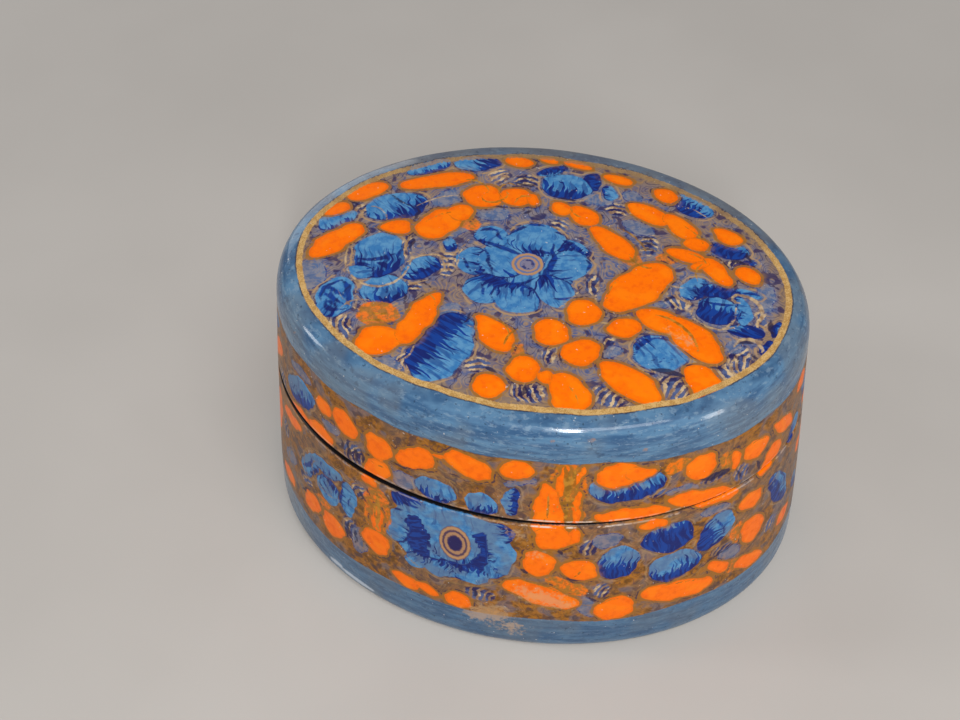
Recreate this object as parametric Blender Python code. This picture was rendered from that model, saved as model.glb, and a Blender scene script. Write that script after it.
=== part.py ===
"""Oval trinket box of painted and lacquered papier-mache, with a lift-off lid.

Two separate pieces. box_base is a hollow oval base with a flat foot. Its thin paper
lining stands up above the wall as a collar. lid is a hollow cap that drops over that
collar and sits a little higher at its left end, as an old hand-made lid does.

X runs along the length, Y across the width and Z up. The foot stands on Z = 0, and the
origin is under the middle of the oval. All sizes are in metres.
"""
import math

import bpy
import bmesh
from mathutils import Matrix

MM = 0.001

# Outside size
LENGTH = 80.0 * MM            # along X, at the foot, where the box is widest
WIDTH = 60.6 * MM             # along Y, at the foot
HEIGHT = 47.5 * MM            # foot to the crown of the lid
SEAM_HEIGHT = 29.0 * MM       # top of the base's painted wall
FOOT_ROUND = 2.4 * MM         # rounding of the lower edge
SIDE_TAPER = 2.7 * MM         # how much the wall leans in up to the shoulder of the lid
SIDE_BEND = 1.25              # 1 is a straight lean, more bends the wall in towards the top

# Lid shoulder and top panel
SHOULDER_HEIGHT = 5.6 * MM    # start of the rounded shoulder, below the crown
SHOULDER_WIDTH = 2.3 * MM     # how far the shoulder rounds inward
CREST_DROP = 0.55 * MM        # crest of the shoulder below the crown
PANEL_INSET = 5.9 * MM        # foot outline to the edge of the painted panel
PANEL_DROP = 0.3 * MM         # edge of the panel below the crown
CROWN_INSET = 13.0 * MM       # foot outline to where the panel is level

# Wall build-up
LID_WALL = 2.0 * MM           # wall of the lid
LINING = 1.0 * MM             # paper lining of the base, which is also the collar
FLOOR = 2.8 * MM              # thickness of the floor
ROOF = 2.6 * MM               # thickness of the lid's top
INNER_ROUND = 2.0 * MM        # rounding where the floor or the roof meets the wall
RIM_ROUND = 0.35 * MM         # softened edges along the seam and the collar

# Fit of the lid
COLLAR_HEIGHT = 4.6 * MM      # collar above the base's wall
COLLAR_GAP = 0.3 * MM         # between the collar and the lid, all round
SEAM_GAP = 0.5 * MM           # open seam in the middle of the box
LID_TILT_DEG = 0.36           # the lid's left end is raised by this angle

# Fineness of the ovals and of the curved shoulder
OVAL_SEGMENTS = 80
SHOULDER_STOPS = (0.0, 0.2, 0.4, 0.55, 0.7, 0.85)


def side_inset(height):
    """How far the outside wall lies inside the foot's outline at a height."""
    top = HEIGHT - SHOULDER_HEIGHT
    share = max(0.0, (height - FOOT_ROUND) / (top - FOOT_ROUND))
    return SIDE_TAPER * share ** SIDE_BEND


def soft_corner(start, corner, end):
    """Four points of a curve from start to end that bends towards the corner."""
    points = []
    for step in (0.0, 1 / 3, 2 / 3, 1.0):
        weights = ((1 - step) ** 2, 2 * step * (1 - step), step ** 2)
        points.append(tuple(sum(weight * point[axis] for weight, point
                                in zip(weights, (start, corner, end)))
                            for axis in (0, 1)))
    return points


def oval_loft(name, profile, collection, material):
    """One closed body lofted through oval rings, each given as (inset, height)."""
    bm = bmesh.new()
    bmesh.ops.create_circle(bm, cap_ends=False, segments=OVAL_SEGMENTS, radius=1.0)
    inset, height = profile[0]
    half = (LENGTH / 2 - inset, WIDTH / 2 - inset)
    bmesh.ops.scale(bm, vec=(half[0], half[1], 1.0), verts=bm.verts)
    bmesh.ops.translate(bm, vec=(0.0, 0.0, height), verts=bm.verts)
    edges = list(bm.edges)
    bmesh.ops.contextual_create(bm, geom=edges)
    for inset, next_height in profile[1:]:
        next_half = (LENGTH / 2 - inset, WIDTH / 2 - inset)
        grown = bmesh.ops.extrude_edge_only(bm, edges=edges)["geom"]
        ring = {item for item in grown if isinstance(item, bmesh.types.BMVert)}
        edges = [item for item in grown if isinstance(item, bmesh.types.BMEdge)
                 and all(vert in ring for vert in item.verts)]
        bmesh.ops.scale(bm, vec=(next_half[0] / half[0], next_half[1] / half[1], 1.0),
                        verts=list(ring))
        bmesh.ops.translate(bm, vec=(0.0, 0.0, next_height - height), verts=list(ring))
        half, height = next_half, next_height
    bmesh.ops.contextual_create(bm, geom=edges)
    bmesh.ops.recalc_face_normals(bm, faces=bm.faces)
    mesh = bpy.data.meshes.new(name)
    bm.to_mesh(mesh)
    bm.free()
    mesh.materials.append(material)
    body = bpy.data.objects.new(name, mesh)
    collection.objects.link(body)
    return body


def base_profile():
    """From the middle of the underside, up the outside, over the collar, to the floor."""
    rim_inset = side_inset(SEAM_HEIGHT)
    collar_outer = rim_inset + LID_WALL + COLLAR_GAP
    collar_inner = collar_outer + LINING
    collar_top = SEAM_HEIGHT + COLLAR_HEIGHT
    foot_inner = side_inset(FLOOR + INNER_ROUND) + LID_WALL + COLLAR_GAP + LINING

    profile = soft_corner((FOOT_ROUND * 0.8, 0.0), (0.0, 0.0), (0.0, FOOT_ROUND))
    for share in (0.25, 0.5, 0.75):
        height = FOOT_ROUND + (SEAM_HEIGHT - RIM_ROUND - FOOT_ROUND) * share
        profile.append((side_inset(height), height))
    profile += [(rim_inset, SEAM_HEIGHT - RIM_ROUND),
                (rim_inset + RIM_ROUND, SEAM_HEIGHT),
                (collar_outer, SEAM_HEIGHT),
                (collar_outer, collar_top - RIM_ROUND),
                (collar_outer + RIM_ROUND, collar_top),
                (collar_inner - RIM_ROUND, collar_top),
                (collar_inner, collar_top - RIM_ROUND),
                (collar_inner, SEAM_HEIGHT)]
    profile += soft_corner((foot_inner, FLOOR + INNER_ROUND), (foot_inner, FLOOR),
                           (foot_inner + INNER_ROUND, FLOOR))
    return profile


def lid_profile():
    """From the crown, down the outside, round the rim, up the inside, to the roof."""
    rim_height = SEAM_HEIGHT + SEAM_GAP
    shoulder = HEIGHT - SHOULDER_HEIGHT
    rim_inset = side_inset(rim_height)
    rim_inner = side_inset(SEAM_HEIGHT) + LID_WALL
    roof = HEIGHT - ROOF
    roof_inner = SIDE_TAPER + LID_WALL + SHOULDER_WIDTH * 0.4

    profile = [(CROWN_INSET, HEIGHT),
               ((CROWN_INSET + PANEL_INSET) / 2, HEIGHT - PANEL_DROP * 0.3),
               (PANEL_INSET, HEIGHT - PANEL_DROP)]
    for stop in reversed(SHOULDER_STOPS):
        turn = stop * math.pi / 2
        profile.append((SIDE_TAPER + SHOULDER_WIDTH * (1 - math.cos(turn)),
                        shoulder + (SHOULDER_HEIGHT - CREST_DROP) * math.sin(turn)))
    middle = (shoulder + rim_height) / 2
    profile += [(side_inset(middle), middle),
                (rim_inset, rim_height + RIM_ROUND),
                (rim_inset + RIM_ROUND, rim_height),
                (rim_inner - RIM_ROUND, rim_height),
                (rim_inner, rim_height + RIM_ROUND),
                (rim_inner, SEAM_HEIGHT + COLLAR_HEIGHT + COLLAR_GAP)]
    profile += soft_corner((roof_inner, roof - INNER_ROUND), (roof_inner, roof),
                           (roof_inner + INNER_ROUND, roof))
    return profile


def painted(name, color):
    material = bpy.data.materials.new(name)
    material.use_nodes = True
    shader = material.node_tree.nodes["Principled BSDF"]
    shader.inputs["Base Color"].default_value = color
    shader.inputs["Roughness"].default_value = 0.35
    return material


for old in list(bpy.data.objects):
    bpy.data.objects.remove(old, do_unlink=True)

box = bpy.data.collections.new("papier_mache_trinket_box")
bpy.context.scene.collection.children.link(box)

base = oval_loft("box_base", base_profile(), box,
                 painted("painted_base", (0.34, 0.22, 0.14, 1.0)))
lid = oval_loft("lid", lid_profile(), box,
                painted("painted_lid", (0.26, 0.29, 0.34, 1.0)))

# The lid rests a little higher at its left end: turned about its rim's middle line.
pivot = Matrix.Translation((0.0, 0.0, SEAM_HEIGHT + SEAM_GAP))
tilt = Matrix.Rotation(math.radians(LID_TILT_DEG), 4, "Y")
lid.data.transform(pivot @ tilt @ pivot.inverted())

print("box_base and lid made:",
      [round(size * 1000, 1) for size in (LENGTH, WIDTH, HEIGHT)], "mm")
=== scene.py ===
# %% [markdown]
# # A small oval box of painted papier-mache
# The real thing is a trinket box of pressed paper with a lift-off lid. Its painter laid
# grey-blue and brown grounds, drew flowers, leaves and petals over them with a fine
# brush, lined them in gold, and closed everything under a clear varnish.
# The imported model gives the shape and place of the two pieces. This script gives them
# their finer surface, their painting and their light.

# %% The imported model
import math

import bpy
import numpy as np
from mathutils import Matrix, Vector


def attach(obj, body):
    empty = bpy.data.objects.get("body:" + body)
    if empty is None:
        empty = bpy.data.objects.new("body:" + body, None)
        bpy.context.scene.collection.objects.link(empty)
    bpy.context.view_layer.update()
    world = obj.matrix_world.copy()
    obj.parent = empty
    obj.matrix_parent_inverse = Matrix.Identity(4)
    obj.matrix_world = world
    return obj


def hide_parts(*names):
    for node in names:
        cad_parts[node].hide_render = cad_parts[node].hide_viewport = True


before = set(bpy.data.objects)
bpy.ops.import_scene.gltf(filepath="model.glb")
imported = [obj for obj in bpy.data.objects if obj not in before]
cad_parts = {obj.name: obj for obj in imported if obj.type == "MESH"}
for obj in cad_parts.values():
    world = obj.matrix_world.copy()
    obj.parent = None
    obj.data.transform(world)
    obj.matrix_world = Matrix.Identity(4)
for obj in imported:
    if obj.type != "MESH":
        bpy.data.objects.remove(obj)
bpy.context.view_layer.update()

MM = 0.001

# %% [markdown]
# The camera stands where the photograph was taken from: a little to the right of the
# front, looking down at about fifty degrees. A camera can be turned by hand with angles,
# but a look-at built from two points can't drift when the target moves, so the matrix
# is made from the eye, the target and a small roll.

# %% Camera
AZIMUTH_DEG = 11.7
ELEVATION_DEG = 49.6
ROLL_DEG = -0.6
EYE_DISTANCE = 248.0 * MM
TARGET = Vector((-8.4, -0.9, 28.5)) * MM
LENS_MM = 63.75

azimuth, elevation = math.radians(AZIMUTH_DEG), math.radians(ELEVATION_DEG)
towards_eye = Vector((math.sin(azimuth) * math.cos(elevation),
                      -math.cos(azimuth) * math.cos(elevation),
                      math.sin(elevation)))
right = (-towards_eye).cross(Vector((0, 0, 1))).normalized()
up = right.cross(-towards_eye)
roll = math.radians(ROLL_DEG)
side_axis = right * math.cos(roll) + up * math.sin(roll)
top_axis = up * math.cos(roll) - right * math.sin(roll)

eye = bpy.data.objects.new("photo_camera", bpy.data.cameras.new("photo_camera"))
bpy.context.scene.collection.objects.link(eye)
turn = Matrix((side_axis, top_axis, towards_eye)).transposed().to_4x4()
eye.matrix_world = Matrix.Translation(TARGET + towards_eye * EYE_DISTANCE) @ turn
eye.data.lens = LENS_MM
eye.data.sensor_width = 36.0
eye.data.clip_start = 0.005
bpy.context.scene.camera = eye
print("camera at", [round(value / MM) for value in eye.location], "mm")

# %% [markdown]
# A plain pale floor and soft studio light keep the eye on the box. Varnish shows the lamps
# as streaks along the rounded shoulder. A shoulder is strongly curved from top to bottom
# and hardly curved along its length, so a lamp has to be a tall, narrow strip to give a
# short, thick glint. Wide lamps then fill the top, the side and the back.

# %% Floor and lights
def alone():
    """Leaves edit mode and deselects everything, so that an operator acts on new work only."""
    if bpy.context.object and bpy.context.object.mode != "OBJECT":
        bpy.ops.object.mode_set(mode="OBJECT")
    bpy.ops.object.select_all(action="DESELECT")


FLOOR_SIZE = 3.0      # metres
alone()
bpy.ops.mesh.primitive_plane_add(size=FLOOR_SIZE, location=(0, 0, 0))
ground = bpy.context.object
ground.name = "studio_floor"


def lamp(name, place, aim, wide, tall, watts):
    """An area lamp that looks at a point."""
    light = bpy.data.lights.new(name, "AREA")
    light.shape = "RECTANGLE"
    light.size, light.size_y = wide, tall
    light.energy = watts
    holder = bpy.data.objects.new(name, light)
    bpy.context.scene.collection.objects.link(holder)
    holder.location = place
    holder.rotation_euler = (Vector(aim) - Vector(place)).to_track_quat("-Z", "Y").to_euler()
    return holder


BOX_MIDDLE = (0.0, 0.0, 24 * MM)
# name, place in metres, aim, width, height and watts
lamp("glint_strip", (0.075, -0.33, 0.40), BOX_MIDDLE, 0.025, 0.20, 1.5)
lamp("right_strip", (0.62, -0.36, 0.13), BOX_MIDDLE, 0.09, 0.20, 0.75)
lamp("left_strip", (-0.62, -0.11, 0.24), BOX_MIDDLE, 0.12, 0.20, 0.75)
lamp("overhead_lamp", (0.22, -0.32, 0.74), BOX_MIDDLE, 0.34, 0.34, 2.1)
lamp("side_lamp", (0.55, -0.35, 0.45), BOX_MIDDLE, 0.40, 0.40, 0.1)
lamp("back_lamp", (-0.45, 0.62, 0.24), BOX_MIDDLE, 0.45, 0.45, 1.2)

world = bpy.data.worlds.new("studio")
bpy.context.scene.world = world
world.use_nodes = True
world.node_tree.nodes["Background"].inputs["Color"].default_value = (0.97, 0.97, 1.0, 1.0)
world.node_tree.nodes["Background"].inputs["Strength"].default_value = 0.18
bpy.context.scene.view_settings.view_transform = "Standard"

# %% [markdown]
# Both pieces were pressed over one oval former, so one set of sizes describes them: the
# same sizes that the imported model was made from. The outside wall leans in a little
# towards the lid's shoulder, and the shoulder rolls over to the flat painted panel.
# An inset is how far a ring lies inside the outline of the foot.

# %% Sizes of the box
LENGTH, WIDTH, HEIGHT = 80.0 * MM, 60.6 * MM, 47.5 * MM
SEAM_HEIGHT, SEAM_GAP = 29.0 * MM, 0.5 * MM
FOOT_ROUND, RIM_ROUND, INNER_ROUND = 2.4 * MM, 0.35 * MM, 2.0 * MM
SIDE_TAPER, SIDE_BEND = 2.7 * MM, 1.25
SHOULDER_HEIGHT, SHOULDER_WIDTH, CREST_DROP = 5.6 * MM, 2.3 * MM, 0.55 * MM
PANEL_INSET, PANEL_DROP, CROWN_INSET = 5.9 * MM, 0.3 * MM, 13.0 * MM
LID_WALL, LINING, FLOOR, ROOF = 2.0 * MM, 1.0 * MM, 2.8 * MM, 2.6 * MM
COLLAR_HEIGHT, COLLAR_GAP = 4.6 * MM, 0.3 * MM
LID_TILT_DEG = 0.36
SHOULDER_START = HEIGHT - SHOULDER_HEIGHT


def side_inset(height):
    """How far the outside wall lies inside the foot's outline at a height."""
    share = np.clip((np.asarray(height) - FOOT_ROUND) / (SHOULDER_START - FOOT_ROUND), 0, None)
    return SIDE_TAPER * share ** SIDE_BEND


def soft_corner(start, corner, end, count):
    """Points of a curve from start to end that bends towards the corner."""
    step = np.linspace(0, 1, count)[:, None]
    start, corner, end = (np.array(point) for point in (start, corner, end))
    return (1 - step) ** 2 * start + 2 * step * (1 - step) * corner + step ** 2 * end


def evenly(points, spacing):
    """The same line with its points about one spacing apart."""
    points = np.asarray(points, float)
    steps = np.hypot(*np.diff(points, axis=0).T)
    far = np.concatenate([[0], np.cumsum(steps)])
    wanted = np.linspace(0, far[-1], max(2, round(far[-1] / spacing) + 1))
    return np.stack([np.interp(wanted, far, points[:, axis]) for axis in (0, 1)], 1)


print("the wall leans in by", round(float(side_inset(SEAM_HEIGHT)) / MM, 2), "mm at the seam")

# %% [markdown]
# A hollow oval shell is easiest to make as a turner would: draw the section of its wall
# once, turn it round the upright axis, then squeeze the round into an oval. The Screw
# modifier does the turning. The painted outside gets points about a third of a
# millimetre apart, because the painting is carried by the points of the mesh, and the
# unpainted inside gets few.

# %% Turning a wall section into an oval shell
ROUND_STEPS = 576
PAINT_SPACING = 0.33 * MM
PANEL_SPACING = 0.38 * MM
SAME_POINT = 0.001 * MM


def turned_oval(name, section):
    """A closed shell from a wall section given as (inset, height), axis to axis."""
    section = np.asarray(section, float)
    alone()
    bpy.ops.curve.primitive_nurbs_path_add()
    piece = bpy.context.object
    piece.data.splines.clear()
    line = piece.data.splines.new("POLY")
    line.points.add(len(section) - 1)
    wall = np.zeros((len(section), 4))
    wall[:, 0] = np.maximum(LENGTH / 2 - section[:, 0], 0.0)
    wall[:, 2] = section[:, 1]
    line.points.foreach_set("co", wall.ravel())
    bpy.ops.object.convert(target="MESH")
    piece = bpy.context.object
    piece.name = piece.data.name = name

    turner = piece.modifiers.new("turner", "SCREW")
    turner.axis = "Z"
    turner.angle = math.tau
    turner.steps = turner.render_steps = ROUND_STEPS
    turner.use_merge_vertices = True
    turner.merge_threshold = SAME_POINT
    bpy.ops.object.modifier_apply(modifier=turner.name)
    bpy.ops.object.mode_set(mode="EDIT")
    bpy.ops.mesh.select_all(action="SELECT")
    bpy.ops.mesh.remove_doubles(threshold=SAME_POINT)
    bpy.ops.mesh.normals_make_consistent(inside=False)
    bpy.ops.object.mode_set(mode="OBJECT")
    print(name, "turned:", len(piece.data.vertices), "points,",
          sum(len(face.vertices) - 2 for face in piece.data.polygons), "triangles")
    return piece


print("a shell has", ROUND_STEPS, "points round it")

# %% [markdown]
# The section of the base starts in the middle of the underside, comes up round the
# foot, up the painted wall, over the seam edge, over the collar of the lining, and down
# inside to the floor. Corners are soft curves, because no edge of pressed paper is sharp.

# %% Base
rim_inset = float(side_inset(SEAM_HEIGHT))
collar_outer = rim_inset + LID_WALL + COLLAR_GAP
collar_inner = collar_outer + LINING
collar_top = SEAM_HEIGHT + COLLAR_HEIGHT
floor_inner = float(side_inset(FLOOR + INNER_ROUND)) + LID_WALL + COLLAR_GAP + LINING
MIDDLE = LENGTH / 2

wall_heights = np.linspace(FOOT_ROUND, SEAM_HEIGHT - RIM_ROUND, 60)
painted_line = np.concatenate([
    soft_corner((FOOT_ROUND * 0.8, 0.0), (0.0, 0.0), (0.0, FOOT_ROUND), 12),
    np.stack([side_inset(wall_heights), wall_heights], 1)[1:],
    soft_corner((rim_inset, SEAM_HEIGHT - RIM_ROUND), (rim_inset, SEAM_HEIGHT),
                (rim_inset + RIM_ROUND, SEAM_HEIGHT), 4)[1:]])
base_section = np.concatenate([
    [(MIDDLE, 0.0), (MIDDLE - 8 * MM, 0.0), (12 * MM, 0.0), (4 * MM, 0.0)],
    evenly(painted_line, PAINT_SPACING),
    [(collar_outer - 0.2 * MM, SEAM_HEIGHT), (collar_outer, SEAM_HEIGHT + 0.2 * MM),
     (collar_outer, collar_top - RIM_ROUND)],
    soft_corner((collar_outer, collar_top - RIM_ROUND), (collar_outer, collar_top),
                (collar_outer + RIM_ROUND, collar_top), 4)[1:],
    soft_corner((collar_inner - RIM_ROUND, collar_top), (collar_inner, collar_top),
                (collar_inner, collar_top - RIM_ROUND), 4),
    [(collar_inner, SEAM_HEIGHT), (collar_inner - 0.9 * MM, 15 * MM)],
    soft_corner((floor_inner, FLOOR + INNER_ROUND), (floor_inner, FLOOR),
                (floor_inner + INNER_ROUND, FLOOR), 6),
    [(14 * MM, FLOOR), (MIDDLE - 8 * MM, FLOOR), (MIDDLE, FLOOR)]])
base = turned_oval("painted_base_shell", base_section)

# %% [markdown]
# The lid is turned the same way, from the crown outward, round the shoulder, down to
# its lower edge and up inside to the roof. The painted panel is not quite flat: it
# rises a third of a millimetre to its middle.

# %% Lid
lid_rim = SEAM_HEIGHT + SEAM_GAP
lid_rim_inset = float(side_inset(lid_rim))
lid_inner = rim_inset + LID_WALL
roof = HEIGHT - ROOF
roof_inner = SIDE_TAPER + LID_WALL + SHOULDER_WIDTH * 0.4
SHOULDER_STOP = 0.85

rolls = np.linspace(SHOULDER_STOP, 0, 16) * math.pi / 2
shoulder_line = np.stack([SIDE_TAPER + SHOULDER_WIDTH * (1 - np.cos(rolls)),
                          SHOULDER_START + (SHOULDER_HEIGHT - CREST_DROP) * np.sin(rolls)], 1)
crest = shoulder_line[0]
panel_line = np.array([(MIDDLE, HEIGHT), (CROWN_INSET, HEIGHT),
                       ((CROWN_INSET + PANEL_INSET) / 2, HEIGHT - PANEL_DROP * 0.3),
                       (PANEL_INSET, HEIGHT - PANEL_DROP)])
slope_middle = (crest + panel_line[-1]) / 2 + (0, 0.05 * MM)
panel_slope = soft_corner(panel_line[-1], slope_middle, crest, 5)
side_heights = np.linspace(SHOULDER_START, lid_rim + RIM_ROUND, 30)
lid_line = np.concatenate([
    panel_slope, shoulder_line[1:],
    np.stack([side_inset(side_heights), side_heights], 1)[1:],
    soft_corner((lid_rim_inset, lid_rim + RIM_ROUND), (lid_rim_inset, lid_rim),
                (lid_rim_inset + RIM_ROUND, lid_rim), 4)[1:]])
lid_section = np.concatenate([
    evenly(panel_line, PANEL_SPACING)[:-1],
    evenly(lid_line, PAINT_SPACING),
    [(lid_inner - RIM_ROUND, lid_rim), (lid_inner, lid_rim + RIM_ROUND),
     (lid_inner, collar_top + COLLAR_GAP)],
    soft_corner((roof_inner, roof - INNER_ROUND), (roof_inner, roof),
                (roof_inner + INNER_ROUND, roof), 6),
    [(14 * MM, roof), (MIDDLE - 8 * MM, roof), (MIDDLE, roof)]])
lid = turned_oval("painted_lid_shell", lid_section)

# %% [markdown]
# Painting is laid out in two charts, both in millimetres. The panel's chart is the lid
# seen from above, x to the right and y away from the viewer. The wall's chart is the
# outside unrolled: along is the way round the oval, counted from the middle of the front
# to the right, and height is the height above the table. Both are measured while the
# shells are squeezed from round to oval, because the round tells the way round exactly.

# %% Charts for the painting
SQUEEZE = (LENGTH - WIDTH) / 2
SQUEEZE_FROM = LENGTH / 2 - 8.0 * MM


def points_of(piece):
    """The places of a mesh's points, as rows of x, y and z."""
    flat = np.empty(len(piece.data.vertices) * 3)
    piece.data.vertices.foreach_get("co", flat)
    return flat.reshape(-1, 3)


def squeeze_to_oval(places):
    """Narrows round rings to ovals: every ring loses the same width, near the middle less."""
    radius = np.hypot(places[:, 0], places[:, 1])
    reach = np.maximum(radius, SQUEEZE_FROM)
    places[:, 1] *= (reach - SQUEEZE) / reach
    return places


def around(places):
    """Millimetres round the foot's oval to the right of the front's middle, for each point."""
    half_length, half_width = LENGTH / 2 / MM, WIDTH / 2 / MM
    fine = np.linspace(-math.pi, math.pi, 2001)
    track = np.stack([half_length * np.sin(fine), -half_width * np.cos(fine)])
    far = np.concatenate([[0], np.cumsum(np.hypot(*np.diff(track)))])
    far -= far[len(fine) // 2]
    turn = np.arctan2(places[:, 0], -places[:, 1])
    return np.interp(turn, fine, far), far[-1]


def chart_of(piece, seam):
    """What the painting needs of each point, measured before the round becomes an oval."""
    places = points_of(piece)
    inset = LENGTH / 2 - np.hypot(places[:, 0], places[:, 1])
    along, half_way = around(places)
    places = squeeze_to_oval(places)
    return {"x": places[:, 0] / MM, "y": places[:, 1] / MM, "height": places[:, 2] / MM,
            "inset": inset / MM, "along": along, "places": places,
            "from_seam": abs(places[:, 2] - seam) / MM}, half_way


base_chart, HALF_WAY = chart_of(base, SEAM_HEIGHT)
lid_chart, HALF_WAY = chart_of(lid, lid_rim)
print("half way round the box:", round(HALF_WAY, 1), "mm")

# %% [markdown]
# Each petal is a hand-drawn oval. It is given by its place in the chart, half its
# length, half its width, the turn of its long side in degrees and, where one end is
# fuller than the other, a taper. The orange petals come first: this traditional pattern
# scatters them over the whole box like confetti, many of them in touching pairs.

# %% Orange petals
PANEL, WALL = {}, {}
# place x, place y, half length, half width, turn, taper
PANEL["orange"] = [
    (-29.3, 0.9, 4.6, 1.9, 50), (-19.2, -16.0, 3.1, 2.5, 18, -0.1),
    (-14.8, -11.2, 5.2, 1.85, 72, -0.1), (-4.4, -11.6, 3.7, 2.0, -45, 0.25),
    (-3.4, -20.7, 2.2, 1.9, -15, 0.1), (0.6, -17.0, 2.3, 2.1, -70, 0.1),
    (13.4, 0.3, 5.8, 3.1, 53), (6.8, -5.6, 2.4, 2.3, 30), (12.6, -7.4, 2.2, 1.75, 10, 0.1),
    (3.1, -10.0, 2.4, 2.35, 60), (7.6, -12.7, 2.6, 2.3, 20), (17.0, -5.4, 3.2, 1.9, -18, 0.1),
    (21.9, -7.9, 4.9, 2.3, -40, 0.1), (14.7, -16.8, 5.0, 2.2, -31),
    (24.2, -15.1, 3.4, 2.2, -50), (7.1, -19.8, 3.5, 2.5, -52, 0.1), (3.8, -17.8, 1.0, 1.1, 0),
    (-30.8, 7.1, 1.9, 1.1, 42, 0.1), (-27.3, 11.5, 3.0, 1.6, 38),
    (-18.0, 15.2, 5.4, 1.45, 22, 0.15), (-21.6, 4.9, 2.2, 1.3, 10, 0.3),
    (-15.9, 6.7, 3.4, 2.5, 48), (-13.2, 9.6, 1.9, 1.6, 30), (-10.9, 13.4, 2.9, 2.2, 12, 0.1),
    (-6.1, 14.3, 2.3, 1.7, 14), (-3.6, 14.3, 0.9, 1.1, 0), (-7.2, 21.7, 2.1, 1.05, -4),
    (-2.7, 23.0, 1.4, 0.75, 0), (1.5, 22.9, 2.1, 0.8, -6), (7.6, 20.9, 2.4, 0.95, -14, 0.1),
    (14.9, 18.8, 1.8, 1.45, -20, 0.1), (12.8, 14.7, 3.3, 1.5, -26, 0.2),
    (17.6, 12.7, 3.1, 1.5, -42, 0.1), (20.4, 9.7, 1.8, 1.2, -10),
    (18.9, 7.3, 2.9, 1.2, -14, 0.1), (23.6, 5.0, 3.0, 1.35, -50), (21.3, 5.7, 0.8, 1.2, -60),
    (24.3, 12.1, 2.2, 1.25, -24, 0.1), (28.0, 5.2, 2.0, 1.4, -30), (3.9, 12.6, 2.4, 1.6, -28),
    (0.6, 13.4, 1.5, 1.2, -8), (8.8, 8.0, 4.2, 1.7, -40),
]
# along, height, half length, half width, turn, taper
WALL["orange"] = [
    (-19.1, 35.8, 2.5, 2.3, 70, 0.1), (-13.2, 36.8, 3.6, 1.9, 30, 0.3),
    (-19.4, 31.0, 2.9, 1.8, 48, 0.1), (-20.6, 27.9, 1.5, 0.9, 12), (-5.0, 38.7, 3.8, 2.0, -20),
    (-9.4, 39.2, 0.9, 0.4, 12), (1.9, 39.6, 2.4, 1.8, -4), (6.6, 31.4, 6.4, 2.2, 94, -0.35),
    (7.4, 26.4, 2.6, 2.7, 0), (10.5, 32.6, 3.6, 0.6, 88), (8.3, 38.2, 3.4, 0.6, 82),
    (10.6, 39.0, 2.2, 0.5, 70), (16.4, 38.9, 3.3, 2.4, -4, -0.1),
    (19.6, 38.8, 2.4, 1.2, -6, -0.5), (18.4, 30.5, 5.6, 1.45, -2), (29.6, 30.3, 6.3, 1.75, -19),
    (28.6, 37.2, 2.6, 2.4, 60), (34.4, 35.8, 2.0, 0.8, 95), (38.3, 35.3, 2.6, 1.9, -10),
    (45.0, 35.0, 3.4, 1.3, -34), (42.0, 30.6, 3.2, 1.8, 52), (-29.8, 36.6, 1.9, 1.4, 30),
    (-25.3, 36.6, 2.5, 2.3, -20), (-30.7, 30.6, 3.0, 1.6, 4, 0.1), (-36.6, 29.9, 3.2, 0.9, 12),
    (-46.0, 34.2, 3.9, 1.6, 42), (-53.0, 38.0, 2.2, 1.4, 10), (-55.6, 31.6, 2.8, 1.5, -20, 0.1),
    (-19.5, 15.2, 2.7, 2.5, 90), (-19.2, 20.6, 3.0, 1.0, 88), (-14.4, 9.4, 2.2, 1.5, -14, 0.2),
    (-10.9, 9.3, 1.8, 1.1, -12, 0.1), (-6.2, 8.9, 2.2, 1.7, 32, 0.1),
    (5.5, 20.7, 2.9, 2.3, -75, 0.1), (11.3, 19.3, 2.8, 2.1, -32, 0.1),
    (6.0, 13.4, 5.8, 2.2, -22), (16.7, 9.9, 3.0, 2.7, 20), (26.2, 11.1, 6.2, 2.1, -13),
    (32.8, 12.7, 2.4, 1.2, -46), (39.0, 9.5, 3.3, 1.6, -28), (39.0, 17.0, 3.1, 2.4, -70),
    (38.2, 24.2, 2.4, 1.8, -10), (21.8, 27.6, 2.2, 1.0, 2), (10.4, 26.9, 1.7, 0.8, 84),
    (-39.0, 25.8, 3.4, 1.3, 14), (-46.6, 19.6, 6.2, 2.1, 74, 0.1),
    (-28.1, 11.8, 2.6, 2.4, -70, 0.1), (-33.2, 12.4, 2.6, 1.9, 52, 0.1),
    (-54.8, 23.8, 2.6, 2.2, 30), (-52.6, 12.0, 3.2, 1.7, -24), (-41.2, 10.2, 2.7, 1.6, 10),
    (47.6, 11.6, 2.0, 1.6, 0), (51.0, 38.6, 2.2, 1.5, -16), (52.4, 23.0, 1.6, 1.3, 60),
]
print(len(PANEL["orange"]) + len(WALL["orange"]), "orange petals")

# %% [markdown]
# Some petals are olive where a thin ochre glaze went over the orange. They lie lower
# than the orange ones, so they have lists of their own.

# %% Ochre glazes
PANEL["ochre"] = [
    (-20.4, -11.5, 2.9, 2.2, 0), (11.6, 5.6, 2.2, 1.4, -40), (-0.6, -14.2, 1.4, 0.9, 70),
    (16.6, 6.2, 1.6, 0.9, -10), (25.6, -17.4, 1.4, 1.1, 20), (-12.2, 8.0, 1.3, 2.2, 60),
]
WALL["ochre"] = [
    (9.2, 37.2, 2.7, 4.6, 0), (9.6, 31.6, 2.0, 3.6, 0), (10.2, 27.0, 1.4, 2.0, 0),
    (32.8, 36.3, 1.3, 1.7, 0), (24.8, 38.9, 1.9, 1.3, 10), (-19.3, 22.2, 2.4, 5.4, 0),
    (9.6, 15.6, 3.6, 1.5, -28), (36.0, 18.4, 1.5, 2.3, 10), (35.6, 11.0, 1.8, 1.3, -40),
    (-31.0, 14.6, 3.0, 1.4, 30), (-48.6, 26.4, 2.6, 1.4, 40),
]
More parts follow.
